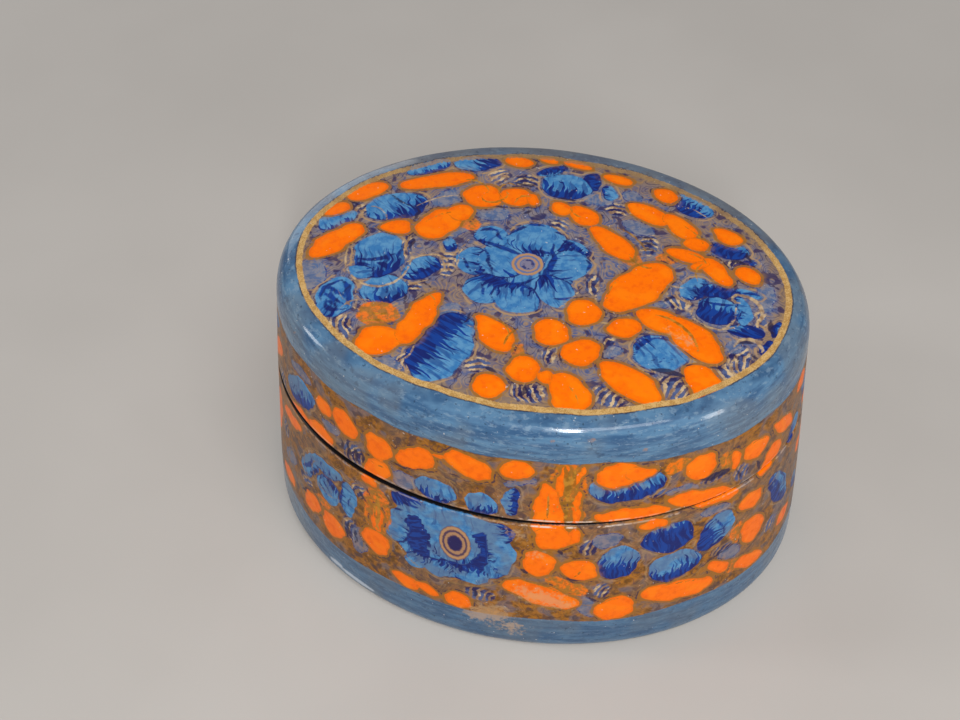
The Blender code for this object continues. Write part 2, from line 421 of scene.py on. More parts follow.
print(len(PANEL["ochre"]) + len(WALL["ochre"]), "ochre glazes")

# %% [markdown]
# The flowers and leaves are painted from navy at the root to pale blue at the tip, with
# saw-toothed strokes where the two meet. So a blue petal also says which way its pale
# side lies, in degrees, and how much of it is navy, from 0 to 1. Petals are painted in
# this order, so a later one covers an earlier one, as wet paint over dry.

# %% Blue flowers and leaves
# place x, place y, half length, half width, turn, pale side, navy share, taper
PANEL["blue"] = [
    # the large flower in the middle, on its pale heart
    (-2.4, 1.0, 7.0, 5.6, 0, 90, 0.08), (3.2, 5.9, 2.9, 1.5, -16, 60, 0.62),
    (-9.7, 0.7, 2.7, 2.2, 95, 180, 0.36), (-7.0, -4.0, 3.1, 2.7, 40, 235, 0.46),
    (2.3, -2.6, 3.3, 2.4, -48, 300, 0.22), (-2.6, -4.9, 3.3, 2.7, 0, 270, 0.22),
    (3.5, 2.6, 2.9, 2.8, 20, 15, 0.08), (-7.7, 5.6, 2.8, 2.0, 160, 60, 0.16, 0.1),
    (-1.8, 6.5, 3.9, 3.2, 8, 95, 0.12), (-5.6, 1.4, 3.3, 2.9, 170, 150, 0.04),
    # flower and leaves at the left
    (-16.4, -2.2, 3.0, 1.9, 48, 140, 0.45), (-20.6, -7.1, 3.2, 2.7, 15, 120, 0.3),
    (-22.7, -0.9, 4.3, 3.5, 96, 100, 0.30), (-24.3, -4.4, 1.9, 1.1, 0, 200, 0.1),
    # drop-shaped bud and the saw-toothed leaf
    (-26.8, -9.4, 3.7, 2.6, 88, 80, 0.02, -0.15), (-10.8, -15.5, 6.4, 4.0, 74, -25, 0.56),
    # oval bud and flower at the right
    (17.7, -11.1, 3.7, 3.0, -16, -50, 0.14), (28.6, -5.1, 2.6, 1.2, 4, 160, 0.75),
    (20.9, 1.1, 2.3, 1.7, 68, 150, 0.3), (24.2, 1.4, 2.4, 1.4, 0, 90, 0.8),
    (28.1, 1.7, 2.0, 0.7, -12, 60, 0.2), (27.8, -1.6, 2.6, 1.1, -75, 0, 0.25),
    (24.4, -2.2, 2.9, 2.5, -10, 80, 0.62), (31.6, -7.2, 1.5, 0.8, 75, 0, 0.9),
    (32.5, -3.7, 1.6, 0.5, 80, 0, 0.95), (13.7, -4.8, 0.6, 0.5, 0, 0, 0.9),
    # leaves along the far edge
    (-30.1, 4.9, 3.0, 1.6, 38, 120, 0.25), (-22.5, 9.0, 4.6, 2.7, 24, 130, 0.33),
    (-19.7, 18.0, 3.5, 1.4, 30, 120, 0.3), (-12.8, 20.1, 3.3, 1.7, 12, 160, 0.42),
    (4.2, 19.7, 1.3, 1.9, 10, 0, 0.95), (0.6, 17.9, 3.7, 2.5, 4, 92, 0.4),
    (-2.0, 20.7, 2.2, 0.9, 30, -60, 0.75), (6.8, 17.8, 1.1, 1.6, 10, 0, 0.25),
    (18.6, 17.3, 3.4, 1.9, -26, 60, 0.46), (25.0, 9.4, 2.8, 1.7, 2, 60, 0.86),
    (27.2, 7.2, 1.5, 0.7, 20, 60, 0.9), (-13.6, 3.0, 1.0, 1.3, 20, 90, 0.5),
]
WALL["blue"] = [
    # the large flower on the front, which runs across the seam, on its pale heart
    (-9.8, 31.9, 3.2, 2.3, 6, 90, 0.30), (-3.0, 31.6, 2.4, 2.3, 0, 90, 0.30),
    (-7.4, 21.6, 9.6, 7.8, 0, 90, 0.04), (-13.9, 27.2, 3.0, 1.9, 8, 300, 0.52),
    (0.0, 26.2, 1.9, 2.2, 10, 200, 0.40), (-12.5, 20.2, 5.0, 1.7, 97, 195, 1.3, 0.1),
    (-15.7, 20.6, 1.9, 3.0, -14, 180, 0.12), (-3.5, 20.6, 5.0, 1.9, 80, 5, 1.3),
    (-0.2, 21.0, 1.9, 3.8, 8, 20, 0.06), (-4.4, 15.9, 3.0, 1.9, -24, 280, 0.34),
    (-9.2, 15.4, 2.3, 2.0, 20, 260, 0.24), (-12.6, 15.3, 1.7, 1.9, 0, 250, 0.30),
    (-6.9, 21.6, 3.8, 4.3, 0, 90, 0.04),
    # leaf, side flower and long leaves on the left
    (-36.0, 34.3, 4.2, 2.6, 25, 110, 0.4), (-33.4, 20.9, 3.6, 1.7, 60, 150, 0.1),
    (-29.4, 23.8, 3.8, 1.5, 8, 90, 0.1), (-24.7, 20.8, 3.8, 1.6, 84, 0, 0.16),
    (-29.0, 19.3, 2.9, 2.5, 80, 270, 0.16), (-49.6, 29.4, 0.6, 0.6, 0, 0, 0.9),
    (-53.4, 18.0, 3.4, 2.0, 30, 120, 0.4), (-57.0, 35.4, 3.0, 2.0, -24, 80, 0.4),
    # crescent under an orange petal, and the cluster at the right
    (17.6, 36.4, 5.6, 2.9, 4, 100, 0.42), (1.3, 33.2, 2.9, 1.2, 88, 180, 0.5),
    (16.8, 20.4, 3.6, 3.1, 70, 80, 0.5), (25.4, 17.2, 4.1, 3.2, 4, 95, 0.42),
    (31.9, 21.8, 3.9, 2.8, 60, 20, 0.44), (24.2, 23.9, 4.0, 3.2, -8, 100, 0.9),
    (45.0, 21.0, 5.2, 2.0, -64, 30, 0.5), (48.6, 30.8, 2.6, 1.5, 60, 30, 0.5),
    (-47.4, 38.6, 2.4, 1.4, 20, 80, 0.4), (52.0, 15.2, 2.2, 1.4, -50, 60, 0.5),
]
print(len(PANEL["blue"]) + len(WALL["blue"]), "blue petals and leaves")

# %% [markdown]
# Grey-blue petals that stayed half painted show between the others. The two large
# flowers have an eye, with rings drawn round it.

# %% Half painted petals, and the flowers' eyes
PANEL["faint"] = [
    (-15.6, 12.1, 2.7, 1.5, 30), (-13.4, 5.9, 2.6, 1.4, 45), (10.0, 17.7, 1.5, 1.2, 0),
    (11.8, 11.6, 2.6, 1.2, -20), (-31.0, -5.6, 2.0, 3.0, 10), (-11.0, -9.6, 1.5, 2.2, -20),
    (-8.6, 10.2, 2.4, 1.4, 10), (9.2, -3.0, 1.2, 1.8, 20), (30.6, 1.6, 1.4, 2.6, 10),
    (5.4, 16.2, 2.4, 1.0, -10), (-17.6, -19.2, 2.4, 1.1, -20), (11.4, -12.0, 1.5, 1.1, 30),
    (27.4, -8.2, 1.2, 1.2, 0), (16.9, -2.4, 1.2, 0.7, 0), (22.4, -11.6, 1.6, 1.0, -30),
]
WALL["faint"] = [
    (-14.8, 31.6, 2.2, 1.6, 30), (-8.0, 22.3, 3.6, 4.4, 0), (2.6, 37.4, 2.6, 0.8, 20),
    (15.0, 25.6, 2.2, 1.6, 0), (34.8, 14.8, 2.4, 1.4, -30), (-22.6, 13.0, 1.6, 3.0, 0),
    (-28.0, 33.6, 2.0, 1.0, 0), (12.6, 10.6, 1.2, 2.6, 20), (31.4, 26.6, 2.6, 1.0, -10),
    (-40.0, 16.0, 2.6, 1.4, 40), (-35.6, 38.6, 3.0, 1.0, 6), (26.0, 33.6, 2.6, 0.9, -8),
]
# place x, place y, half width, half height
PANEL["eyes"] = [(-2.2, 1.5, 2.15, 2.05)]
WALL["eyes"] = [(-6.7, 21.9, 2.3, 3.5)]
print(len(PANEL["faint"]) + len(WALL["faint"]), "half painted petals")

# %% [markdown]
# Between the flowers the painter filled the ground with fans: short tan strokes side by
# side on navy. A fan is an upright oval of ground with the turn of its strokes.

# %% Fans of strokes
# place x, place y, half length, half width, turn of the strokes
PANEL["fans"] = [
    (20.4, -16.4, 2.5, 2.0, 60), (12.3, -19.4, 2.8, 1.6, 55), (1.9, -20.9, 2.4, 1.5, 105),
    (16.2, -14.4, 1.4, 0.7, 150), (25.9, -12.3, 2.0, 1.5, 115), (28.1, -9.9, 1.5, 2.6, 80),
    (19.1, -1.5, 2.0, 1.3, -60), (10.9, -10.9, 0.9, 1.6, 70), (-24.9, -14.9, 1.6, 2.6, 115),
    (-12.9, 0.2, 1.0, 3.4, 0), (-9.4, 18.0, 1.5, 1.6, 40), (-5.2, 17.8, 1.9, 1.2, 5),
    (8.6, 14.6, 1.9, 1.2, 4), (13.8, 8.4, 1.2, 2.0, 0), (0.9, 9.9, 1.2, 1.2, 0),
    (3.6, -13.9, 0.9, 1.8, 80), (-27.4, 7.8, 1.4, 0.9, 60), (-17.3, -5.6, 1.6, 1.0, 30),
    (-14.8, -18.9, 1.6, 1.4, 60), (-5.4, -17.6, 1.7, 1.3, 20), (30.2, -3.0, 0.9, 2.2, 80),
    (7.2, -0.6, 0.9, 1.8, 90), (-19.3, 1.6, 0.8, 2.4, 90), (25.6, 7.0, 1.4, 0.6, 90),
]
WALL["fans"] = [
    (-23.6, 31.5, 1.9, 2.3, 82), (30.6, 34.0, 2.2, 0.8, 50), (35.6, 32.2, 1.4, 1.6, 70),
    (-22.4, 24.4, 1.5, 1.4, 60), (-24.4, 14.4, 1.6, 2.6, 80), (-3.0, 11.6, 2.4, 1.4, 70),
    (14.6, 14.4, 1.2, 1.6, 60), (33.0, 16.6, 1.8, 1.0, 60), (-34.6, 16.6, 1.8, 1.2, 40),
    (12.4, 24.2, 1.4, 1.6, 75), (-42.6, 30.6, 1.4, 1.6, 80), (22.0, 34.2, 1.4, 0.8, 60),
    (52.6, 33.4, 1.6, 1.8, 80), (43.4, 14.0, 1.6, 1.4, 60), (-42.0, 20.6, 1.4, 2.0, 75),
]
print(len(PANEL["fans"]) + len(WALL["fans"]), "fans")

# %% [markdown]
# Gold curls run round the flowers, under the orange petals, and olive stems run over
# the orange. A curl could be a curve object, but then it would stand up from the lacquer.
# Here each one is a part of an oval's outline, painted like the rest.

# %% Gold curls and olive stems
# place x, place y, half length, half width, turn, first degree, sweep, half thickness
PANEL["curls"] = [
    # round the bud and the flower at the left
    (-22.7, -1.3, 5.3, 4.5, 100, 20, 300, 0.20), (-21.0, -4.6, 6.6, 6.9, 0, 200, 150, 0.16),
    (-16.2, -2.6, 4.0, 2.7, 48, -60, 170, 0.18),
    # beside the orange petals at the front right
    (26.0, -10.6, 3.4, 2.6, 70, 90, 150, 0.22), (28.6, -10.4, 2.2, 1.2, 70, 60, 220, 0.26),
    (20.6, -11.0, 1.9, 2.6, 0, -80, 160, 0.24), (27.2, -12.4, 2.8, 1.3, 40, 150, 190, 0.22),
    # round the flower at the right
    (24.4, -2.1, 3.7, 3.2, -10, 150, 200, 0.16), (27.4, -1.6, 3.0, 3.0, 0, -50, 165, 0.32),
    (27.0, 0.7, 0.8, 0.8, 0, 60, 250, 0.22), (24.2, -2.0, 2.7, 3.6, 0, 280, 110, 0.20),
    (19.4, 0.6, 2.2, 3.4, 20, 120, 160, 0.16), (29.2, -8.2, 1.9, 2.0, 0, -20, 210, 0.30),
    # round the flower in the middle, and in the ground between petals
    (-2.4, 1.2, 9.4, 9.0, 0, 150, 70, 0.16), (-2.4, 1.0, 8.4, 9.2, 0, 300, 60, 0.16),
    (10.6, -2.4, 2.6, 3.6, 0, 120, 150, 0.14), (9.6, -8.6, 2.0, 1.5, 0, 10, 180, 0.14),
    (2.2, -13.6, 2.2, 2.6, 0, 290, 130, 0.14), (-5.6, -8.6, 3.6, 2.2, 30, 190, 130, 0.16),
    (-16.2, 10.2, 4.4, 2.0, 30, 40, 110, 0.14), (-25.4, 5.8, 2.2, 2.8, 20, 280, 170, 0.16),
    (17.2, 3.4, 3.4, 1.6, -30, 190, 150, 0.14), (5.2, 10.6, 4.6, 1.4, -36, 10, 140, 0.14),
    (-17.4, -14.6, 2.8, 4.6, 20, 250, 120, 0.16), (-22.4, -12.2, 3.4, 3.0, 0, 60, 120, 0.14),
    (20.6, 13.8, 4.6, 1.6, -40, 20, 150, 0.14), (14.0, 10.6, 5.0, 2.2, -30, 20, 130, 0.14),
]
WALL["curls"] = [
    # round the large flower and its petals
    (-7.0, 21.6, 10.6, 8.8, 0, 170, 190, 0.20), (-9.4, 31.8, 4.4, 3.4, 0, 20, 150, 0.18),
    (-2.4, 32.4, 3.6, 3.4, 0, 30, 130, 0.16),
    # round the cluster at the right
    (16.7, 20.4, 4.8, 4.2, 0, 120, 170, 0.18), (24.6, 24.0, 5.0, 4.2, 0, 20, 150, 0.18),
    (25.8, 17.0, 5.2, 4.1, 0, 190, 160, 0.18), (32.2, 21.6, 4.8, 3.6, 60, 250, 170, 0.18),
    # on and between the small petals
    (-28.6, 20.8, 6.6, 5.6, 0, 30, 300, 0.18), (-29.4, 21.2, 3.4, 3.0, 0, 120, 200, 0.22),
    (33.6, 37.0, 2.2, 2.4, 0, 60, 200, 0.18), (27.4, 35.0, 3.4, 2.6, 0, 190, 150, 0.18),
    (36.4, 32.4, 2.6, 3.0, 0, 110, 170, 0.18), (12.8, 14.8, 3.4, 3.6, 0, 200, 120, 0.18),
    (3.0, 16.8, 2.4, 3.0, 0, 250, 150, 0.18), (-15.6, 12.0, 4.6, 2.6, 0, 200, 130, 0.18),
    (-24.0, 12.6, 2.2, 3.4, 0, 300, 150, 0.18), (-37.4, 14.4, 3.4, 4.6, 0, 110, 150, 0.18),
    (34.4, 15.4, 3.0, 2.2, 20, 20, 170, 0.18), (42.0, 26.6, 3.2, 2.6, 0, 200, 170, 0.18),
    (-42.0, 35.4, 5.6, 3.2, 30, 30, 120, 0.18), (-26.6, 33.2, 4.2, 2.4, 0, 190, 140, 0.18),
    (-52.0, 26.6, 4.4, 3.6, 0, 20, 180, 0.18), (-50.6, 14.6, 3.6, 3.0, 0, 180, 180, 0.18),
]
PANEL["stems"] = [
    (18.2, -8.6, 5.2, 3.4, -40, 25, 120, 0.24), (-9.2, 14.0, 1.9, 1.3, 30, 150, 230, 0.20),
    (-12.4, 15.2, 2.2, 1.2, -20, 330, 200, 0.18), (-7.4, 15.2, 1.4, 1.6, 0, 40, 200, 0.18),
    (10.6, 8.4, 3.6, 1.6, -40, 10, 150, 0.18), (13.2, 5.4, 2.0, 1.0, -30, 180, 180, 0.18),
    (13.2, 0.5, 5.2, 2.5, 53, 100, 70, 0.14), (-4.6, 12.8, 1.5, 2.0, 0, 60, 120, 0.18),
    (-16.0, 7.4, 2.8, 1.0, 45, 10, 130, 0.14), (-4.2, -10.8, 2.4, 1.2, -45, 20, 120, 0.14),
    (-14.6, -9.2, 1.6, 2.6, 0, 10, 100, 0.14), (20.6, 6.6, 2.0, 0.9, -30, 30, 130, 0.16),
    (19.0, 11.4, 2.6, 1.0, -40, 10, 130, 0.16), (3.4, 13.0, 1.6, 0.8, -30, 190, 140, 0.16),
    (22.0, 4.4, 1.2, 2.0, 0, 100, 140, 0.16), (6.6, -20.4, 2.4, 1.3, -50, 20, 100, 0.14),
    (-1.0, -12.9, 2.6, 1.6, 80, 20, 100, 0.18), (-20.6, -13.6, 2.2, 1.0, 10, 20, 140, 0.20),
    (-20.4, -10.4, 1.4, 1.0, 0, 200, 150, 0.16),
]
WALL["stems"] = [
    (12.6, 37.0, 3.6, 6.6, 0, 150, 70, 0.34), (5.4, 37.2, 4.0, 6.4, 0, -40, 70, 0.34),
    (12.4, 38.8, 2.4, 4.2, 0, 140, 80, 0.28), (6.8, 39.4, 2.0, 3.6, 0, -40, 80, 0.28),
    (13.4, 31.0, 4.4, 5.6, 0, 130, 80, 0.30), (9.0, 29.4, 1.9, 4.6, 0, 30, 120, 0.22),
    (-21.8, 22.4, 3.0, 6.0, 0, -50, 100, 0.26), (-16.6, 22.0, 3.0, 5.4, 0, 130, 100, 0.26),
    (4.6, 33.2, 2.0, 5.0, 0, 290, 110, 0.20), (34.6, 36.6, 2.4, 1.6, 80, 20, 140, 0.20),
    (9.0, 19.6, 2.6, 2.2, 0, 300, 90, 0.16), (5.4, 14.4, 4.8, 1.4, -22, 20, 120, 0.18),
    (26.0, 11.6, 5.0, 1.2, -12, 20, 110, 0.14), (16.8, 10.6, 2.2, 1.6, 10, 30, 110, 0.14),
    (-19.2, 16.4, 1.8, 1.4, 0, 20, 140, 0.16), (-46.4, 20.6, 5.0, 1.4, 74, 20, 120, 0.18),
    (38.6, 35.6, 2.0, 1.2, -10, 30, 120, 0.14), (-18.8, 33.4, 2.0, 1.2, 20, 190, 140, 0.16),
]
print(len(PANEL["curls"]) + len(WALL["curls"]), "curls")

# %% [markdown]
# The folds of the flowers are ink strokes of a loaded brush: pressed in the middle, thin
# at both ends, and bowed to the left of their way, or to the right if the bow is below 0.

# %% Ink strokes on the flowers
# start x, start y, end x, end y, bow, half thickness
PANEL["ink"] = [
    # creases of the large flower, from its eye outward
    (-9.6, 4.6, -3.4, 3.0, 0.2, 0.42), (-9.2, 4.0, -6.6, -2.2, 0.5, 0.26),
    (-6.8, -2.0, -0.4, -0.4, -1.1, 0.28), (-0.3, -0.6, -2.6, 4.1, -1.2, 0.36),
    (0.8, 6.2, 0.2, -2.2, 0.5, 0.50), (-2.6, 4.0, 0.8, 4.4, 0.2, 0.40),
    (-10.0, 6.4, -7.4, 7.0, 0.5, 0.30), (-7.6, 7.2, -6.2, 5.6, -0.3, 0.28),
    (-6.2, 6.0, -3.4, 9.0, 0.4, 0.34), (-3.6, 9.1, -0.9, 9.4, 0.3, 0.30),
    (0.3, 8.6, 1.8, 8.2, 0.2, 0.26), (1.5, 7.4, 5.4, 4.8, 0.3, 0.42),
    (5.4, 4.8, 6.1, 1.4, 0.3, 0.26), (1.0, -0.2, 4.6, 0.6, -0.3, 0.20),
    (2.6, -3.9, 4.9, -3.2, -0.2, 0.26), (-10.9, 1.6, -9.4, -1.6, -0.3, 0.26),
    (-8.2, -2.4, -4.8, -2.9, 0.2, 0.50), (-7.6, -3.2, -7.0, -5.4, 0.1, 0.24),
    (-5.4, -3.2, -5.2, -5.0, 0.1, 0.22), (-2.0, -2.6, -1.6, -4.4, 0.1, 0.24),
    # buds at the left
    (-25.8, -2.0, -20.4, -0.2, -0.5, 0.34), (-21.8, 0.6, -21.6, -2.2, 0.2, 0.28),
    (-25.9, -3.4, -23.4, -3.0, 0.2, 0.46), (-22.8, -2.2, -20.4, -3.2, 0.2, 0.46),
    (-19.6, 1.4, -19.5, -2.4, -0.4, 0.28), (-26.0, -1.2, -25.7, -3.8, 0.2, 0.22),
    (-18.6, -3.6, -14.4, -0.6, -0.7, 0.26), (-19.0, -6.0, -18.4, -8.6, 0.2, 0.30),
    (-21.6, -6.0, -21.8, -8.4, 0.0, 0.24), (-20.4, -5.8, -20.2, -7.8, 0.0, 0.20),
    # the drop-shaped bud with its slanting strokes
    (-26.9, -6.4, -28.7, -10.4, -0.7, 0.38), (-28.7, -10.2, -25.0, -11.4, -0.9, 0.34),
    (-25.0, -11.4, -26.7, -6.4, -0.9, 0.44), (-28.4, -7.6, -25.2, -9.4, 0.1, 0.32),
    (-28.8, -8.8, -25.4, -10.8, 0.1, 0.36), (-28.2, -10.2, -26.2, -11.4, 0.1, 0.28),
    (-26.6, -6.8, -24.8, -8.2, 0.1, 0.38), (-27.6, -8.2, -27.0, -10.6, 0.2, 0.26),
    # the oval bud and the flower at the right
    (14.4, -12.2, 17.6, -8.5, 1.0, 0.40), (17.0, -8.6, 19.4, -8.9, 0.2, 0.20),
    (17.4, -11.4, 17.0, -13.2, 0.0, 0.13), (18.4, -11.4, 18.0, -13.4, 0.0, 0.13),
    (19.4, -11.2, 19.2, -13.0, 0.0, 0.13), (22.0, 0.6, 25.4, 1.6, 0.4, 0.40),
    (22.4, -0.8, 26.6, -0.6, -0.3, 0.30), (20.6, 2.0, 21.4, 0.2, 0.2, 0.24),
    (27.2, 1.6, 30.2, 1.8, 0.2, 0.30), (24.8, -5.2, 30.6, -5.4, -0.6, 0.5),
]
WALL["ink"] = [
    # the large flower
    (-17.0, 24.2, -14.4, 25.2, 0.2, 0.24), (-15.6, 28.4, -12.2, 28.0, 0.2, 0.30),
    (-15.4, 27.0, -12.4, 27.0, 0.0, 0.34), (-4.4, 18.8, -2.0, 20.4, 0.1, 0.24),
    (-3.4, 21.0, -0.6, 21.6, 0.1, 0.20), (-8.2, 17.6, -4.2, 16.4, -0.2, 0.50),
    (-1.0, 18.0, -0.4, 21.0, 0.1, 0.20), (-11.4, 29.3, -6.0, 29.2, 0.0, 0.16),
    # the side flower, in arcs one inside the other
    (-35.4, 18.6, -32.8, 23.6, -0.5, 0.46), (-33.6, 18.6, -31.4, 22.8, -0.4, 0.34),
    (-28.6, 24.6, -28.2, 22.6, 0.0, 0.26), (-30.2, 24.6, -30.2, 22.8, 0.0, 0.22),
    (-26.9, 24.2, -26.6, 22.2, 0.0, 0.24), (-25.9, 23.2, -25.5, 17.4, -0.5, 0.36),
    (-24.4, 22.0, -24.2, 18.6, -0.2, 0.18), (-30.2, 22.0, -27.4, 20.4, 0.3, 0.34),
    (-31.2, 19.0, -29.0, 17.6, 0.3, 0.30), (-30.6, 20.6, -28.0, 18.8, 0.2, 0.22),
    # leaf at the left, and the right end
    (-38.4, 32.6, -36.8, 35.0, 0.1, 0.22), (-36.2, 32.6, -34.6, 35.0, 0.1, 0.22),
    (42.4, 26.8, 46.0, 16.4, 0.4, 0.40), (44.0, 27.0, 47.4, 18.0, 0.4, 0.26),
    (29.2, 24.6, 31.6, 19.4, 0.3, 0.30), (31.4, 24.8, 33.4, 20.0, 0.3, 0.24),
]
print(len(PANEL["ink"]) + len(WALL["ink"]), "ink strokes")

# %% [markdown]
# The same brush set dark strokes into the ground and along the edges of the orange
# petals. They give the pattern its depth.

# %% Dark strokes in the ground
PANEL["dark"] = [
    (-25.6, 12.6, -19.4, 9.2, -0.5, 0.16), (-19.6, 6.6, -19.2, 9.4, 0.0, 0.30),
    (-18.4, 0.6, -19.0, 4.4, 0.2, 0.30), (-27.0, 0.4, -26.6, 4.4, 0.2, 0.20),
    (-11.6, 12.0, -5.6, 12.0, -0.2, 0.18), (-4.4, 11.0, -3.8, 12.2, 0.0, 0.34),
    (-0.8, 15.4, 3.4, 15.2, 0.2, 0.22), (-6.8, 17.2, -3.6, 17.4, -0.2, 0.26),
    (-6.6, 18.4, -4.4, 18.6, -0.2, 0.18), (8.4, 15.6, 11.0, 16.6, 0.2, 0.18),
    (12.6, 9.8, 14.6, 9.8, 0.2, 0.20), (12.2, 8.6, 15.0, 8.6, 0.2, 0.24),
    (12.6, 7.4, 15.0, 7.4, 0.2, 0.22), (17.6, 3.4, 16.8, -1.0, -0.3, 0.20),
    (16.6, -2.0, 18.4, -1.0, 0.2, 0.20), (10.4, -3.6, 12.0, -2.8, 0.1, 0.24),
    (13.8, -4.6, 14.4, -4.8, 0.0, 0.34), (20.4, -9.6, 25.0, -11.2, -0.6, 0.24),
    (24.0, -12.4, 26.6, -12.2, 0.2, 0.20), (17.0, -14.0, 21.6, -14.4, 0.2, 0.50),
    (27.6, -7.4, 29.6, -7.0, 0.2, 0.30), (27.4, -9.0, 28.2, -11.4, 0.1, 0.20),
    (31.4, -2.2, 32.2, -5.0, 0.1, 0.40), (29.8, -8.6, 31.0, -9.8, 0.0, 0.24),
    (-4.2, -17.8, -2.6, -18.4, 0.1, 0.40), (1.2, -19.8, 1.0, -21.6, 0.1, 0.40),
    (-7.8, -8.6, -8.8, -10.8, 0.1, 0.22), (5.2, -12.8, 5.0, -15.0, 0.0, 0.20),
    (-15.8, -4.4, -14.0, -6.0, 0.1, 0.20), (-17.8, -7.2, -17.0, -9.0, 0.1, 0.24),
    (27.4, 9.8, 28.2, 7.4, -0.2, 0.30), (24.8, 7.4, 27.2, 7.2, 0.2, 0.34),
    (21.2, -12.8, 23.0, -12.4, 0.1, 0.22), (-29.4, 9.0, -27.6, 8.2, 0.1, 0.26),
]
WALL["dark"] = [
    (-17.4, 33.4, -10.8, 35.4, 0.2, 0.26), (-8.6, 36.6, -4.4, 35.8, -0.3, 0.14),
    (-24.6, 33.8, -24.8, 30.0, 0.2, 0.36), (-23.2, 33.8, -23.4, 30.0, 0.2, 0.36),
    (-21.9, 33.6, -22.1, 30.4, 0.2, 0.30), (-25.8, 33.0, -26.0, 30.4, 0.2, 0.26),
    (-22.6, 25.4, -20.6, 22.4, -0.3, 0.30), (-21.6, 26.6, -20.2, 24.6, -0.2, 0.24),
    (-24.6, 16.2, -25.4, 11.4, 0.3, 0.34), (-23.2, 15.6, -23.6, 11.8, 0.2, 0.30),
    (8.4, 23.8, 8.8, 22.8, 0.0, 0.44), (3.2, 18.8, 4.2, 18.0, 0.0, 0.46),
    (9.0, 18.2, 12.2, 17.0, -0.3, 0.34), (12.4, 13.6, 14.8, 12.0, -0.6, 0.34),
    (14.4, 31.6, 13.8, 31.0, 0.0, 0.30), (28.0, 34.8, 34.0, 34.2, -0.2, 0.50),
    (30.0, 33.6, 33.8, 33.8, 0.1, 0.30), (34.8, 34.0, 35.2, 30.6, 0.2, 0.24),
    (38.6, 32.8, 39.2, 29.8, 0.1, 0.34), (18.0, 41.0, 21.6, 40.2, 0.2, 0.20),
    (-14.8, 13.0, -13.2, 11.4, 0.1, 0.20), (-4.0, 12.8, -3.4, 10.8, 0.1, 0.30),
    (29.4, 14.6, 36.0, 16.6, 0.2, 0.22), (-33.4, 15.2, -36.4, 12.2, 0.1, 0.30),
]
print(len(PANEL["dark"]) + len(WALL["dark"]), "dark strokes")

# %% [markdown]
# An old box is worn where hands and the table touch it. At the foot the paint is worn down
# to the pale plaster, and the blue bands have a few small chips. Pale streaks on the foot's
# band are painted highlight, a glint on the varnish.

# %% Worn and chipped places
# place x, place y, half length, half width, turn
PANEL["worn"] = [(20.2, -7.9, 1.6, 0.5, -26), (-9.6, 17.6, 1.3, 0.7, 10)]
WALL["worn"] = [
    (-1.6, 7.4, 3.6, 2.2, 20), (6.4, 12.6, 4.6, 1.5, -22), (1.6, 5.0, 2.0, 1.6, -20),
    (5.1, 22.4, 0.9, 0.8, 0), (2.4, 26.8, 0.7, 1.4, 60),
]
# Painted highlight: pale glints on the foot's blue band, in the wall's chart.
FOOT_GLINTS = [(-23.6, 2.3, 3.4, 0.5, -2), (-27.8, 2.7, 1.4, 0.5, 4)]
BAND_CHIPS = [
    (12.2, 45.6, 0.6, 0.2, 10), (19.8, 43.4, 0.45, 0.3, 0), (6.8, 45.4, 0.3, 0.2, 0),
    (-38.0, 44.6, 0.4, 0.2, 20),
]
print(len(PANEL["worn"]) + len(WALL["worn"]), "worn places,", len(BAND_CHIPS), "chips")

# %% [markdown]
# An image would be the usual way to carry a painting. Here the painting is carried by
# the mesh: for each point, Python works out how many millimetres it lies from the edge
# of the nearest petal (less than 0 inside), and keeps that as an attribute. A shader can
# then draw sharp edges, outlines and strokes at any closeness, because a distance runs
# smoothly between two points where a colour would blur. A slow sine wave bends the charts
# first, so no petal is a perfect oval.

# %% Distances to ovals
FAR = 9.0


def bent(x, y, way_round):
    """Chart places with the small wander of a hand, repeating once in a way round."""
    beat = math.tau / way_round
    return (x + 0.20 * np.sin(1.35 * y + 0.6) + 0.09 * np.sin(3.1 * y + 31 * beat * x),
            y + 0.18 * np.sin(23 * beat * x + 1.1) + 0.09 * np.sin(52 * beat * x + 1.7 * y))


def from_middle(x, y, middle_x, middle_y, turn, way_round):
    """Places as a motif sees them: along its own direction, and to the left of it."""
    side = (x - middle_x + way_round / 2) % way_round - way_round / 2
    rise = y - middle_y
    cos, sin = math.cos(math.radians(turn)), math.sin(math.radians(turn))
    return side * cos + rise * sin, rise * cos - side * sin


def oval(x, y, petal, way_round):
    """Millimetres to the edge of one petal, less than 0 inside it."""
    middle_x, middle_y, half_length, half_width, turn, taper = (*petal, 0.0)[:6]
    u, v = from_middle(x, y, middle_x, middle_y, turn, way_round)
    u, v = u / half_length, v / half_width
    v = v / (1 + taper * np.clip(u, -1.4, 1.4))
    reach = np.hypot(u, v)
    slope = np.hypot(u / half_length, v / half_width)
    inner = np.where(reach > 1e-3, reach / np.maximum(slope, 1e-6), half_width)
    return np.minimum((reach - 1) * inner, FAR)


def lay(x, y, petals, way_round):
    """The edge of a whole list of petals, and the outline of whichever petal lies on top."""
    edge, outline = np.full(len(x), FAR), np.full(len(x), FAR)
    for petal in petals:
        gap = oval(x, y, petal, way_round)
        outline = np.where(gap < 0, -gap, np.minimum(outline, gap))
        edge = np.minimum(edge, gap)
    return edge, outline


print("way round for the wall's pattern:", round(HALF_WAY, 1), "mm, so it runs round twice")

# %% [markdown]
# A blue petal needs two more numbers: its tone, which falls from the pale tip to the navy
# root, and the millimetres across its strokes, which the shader cuts into single strokes.

# %% Tone and strokes of the blue petals
NEXT_PETAL = 7.3      # added for each petal, so that no two have the same strokes


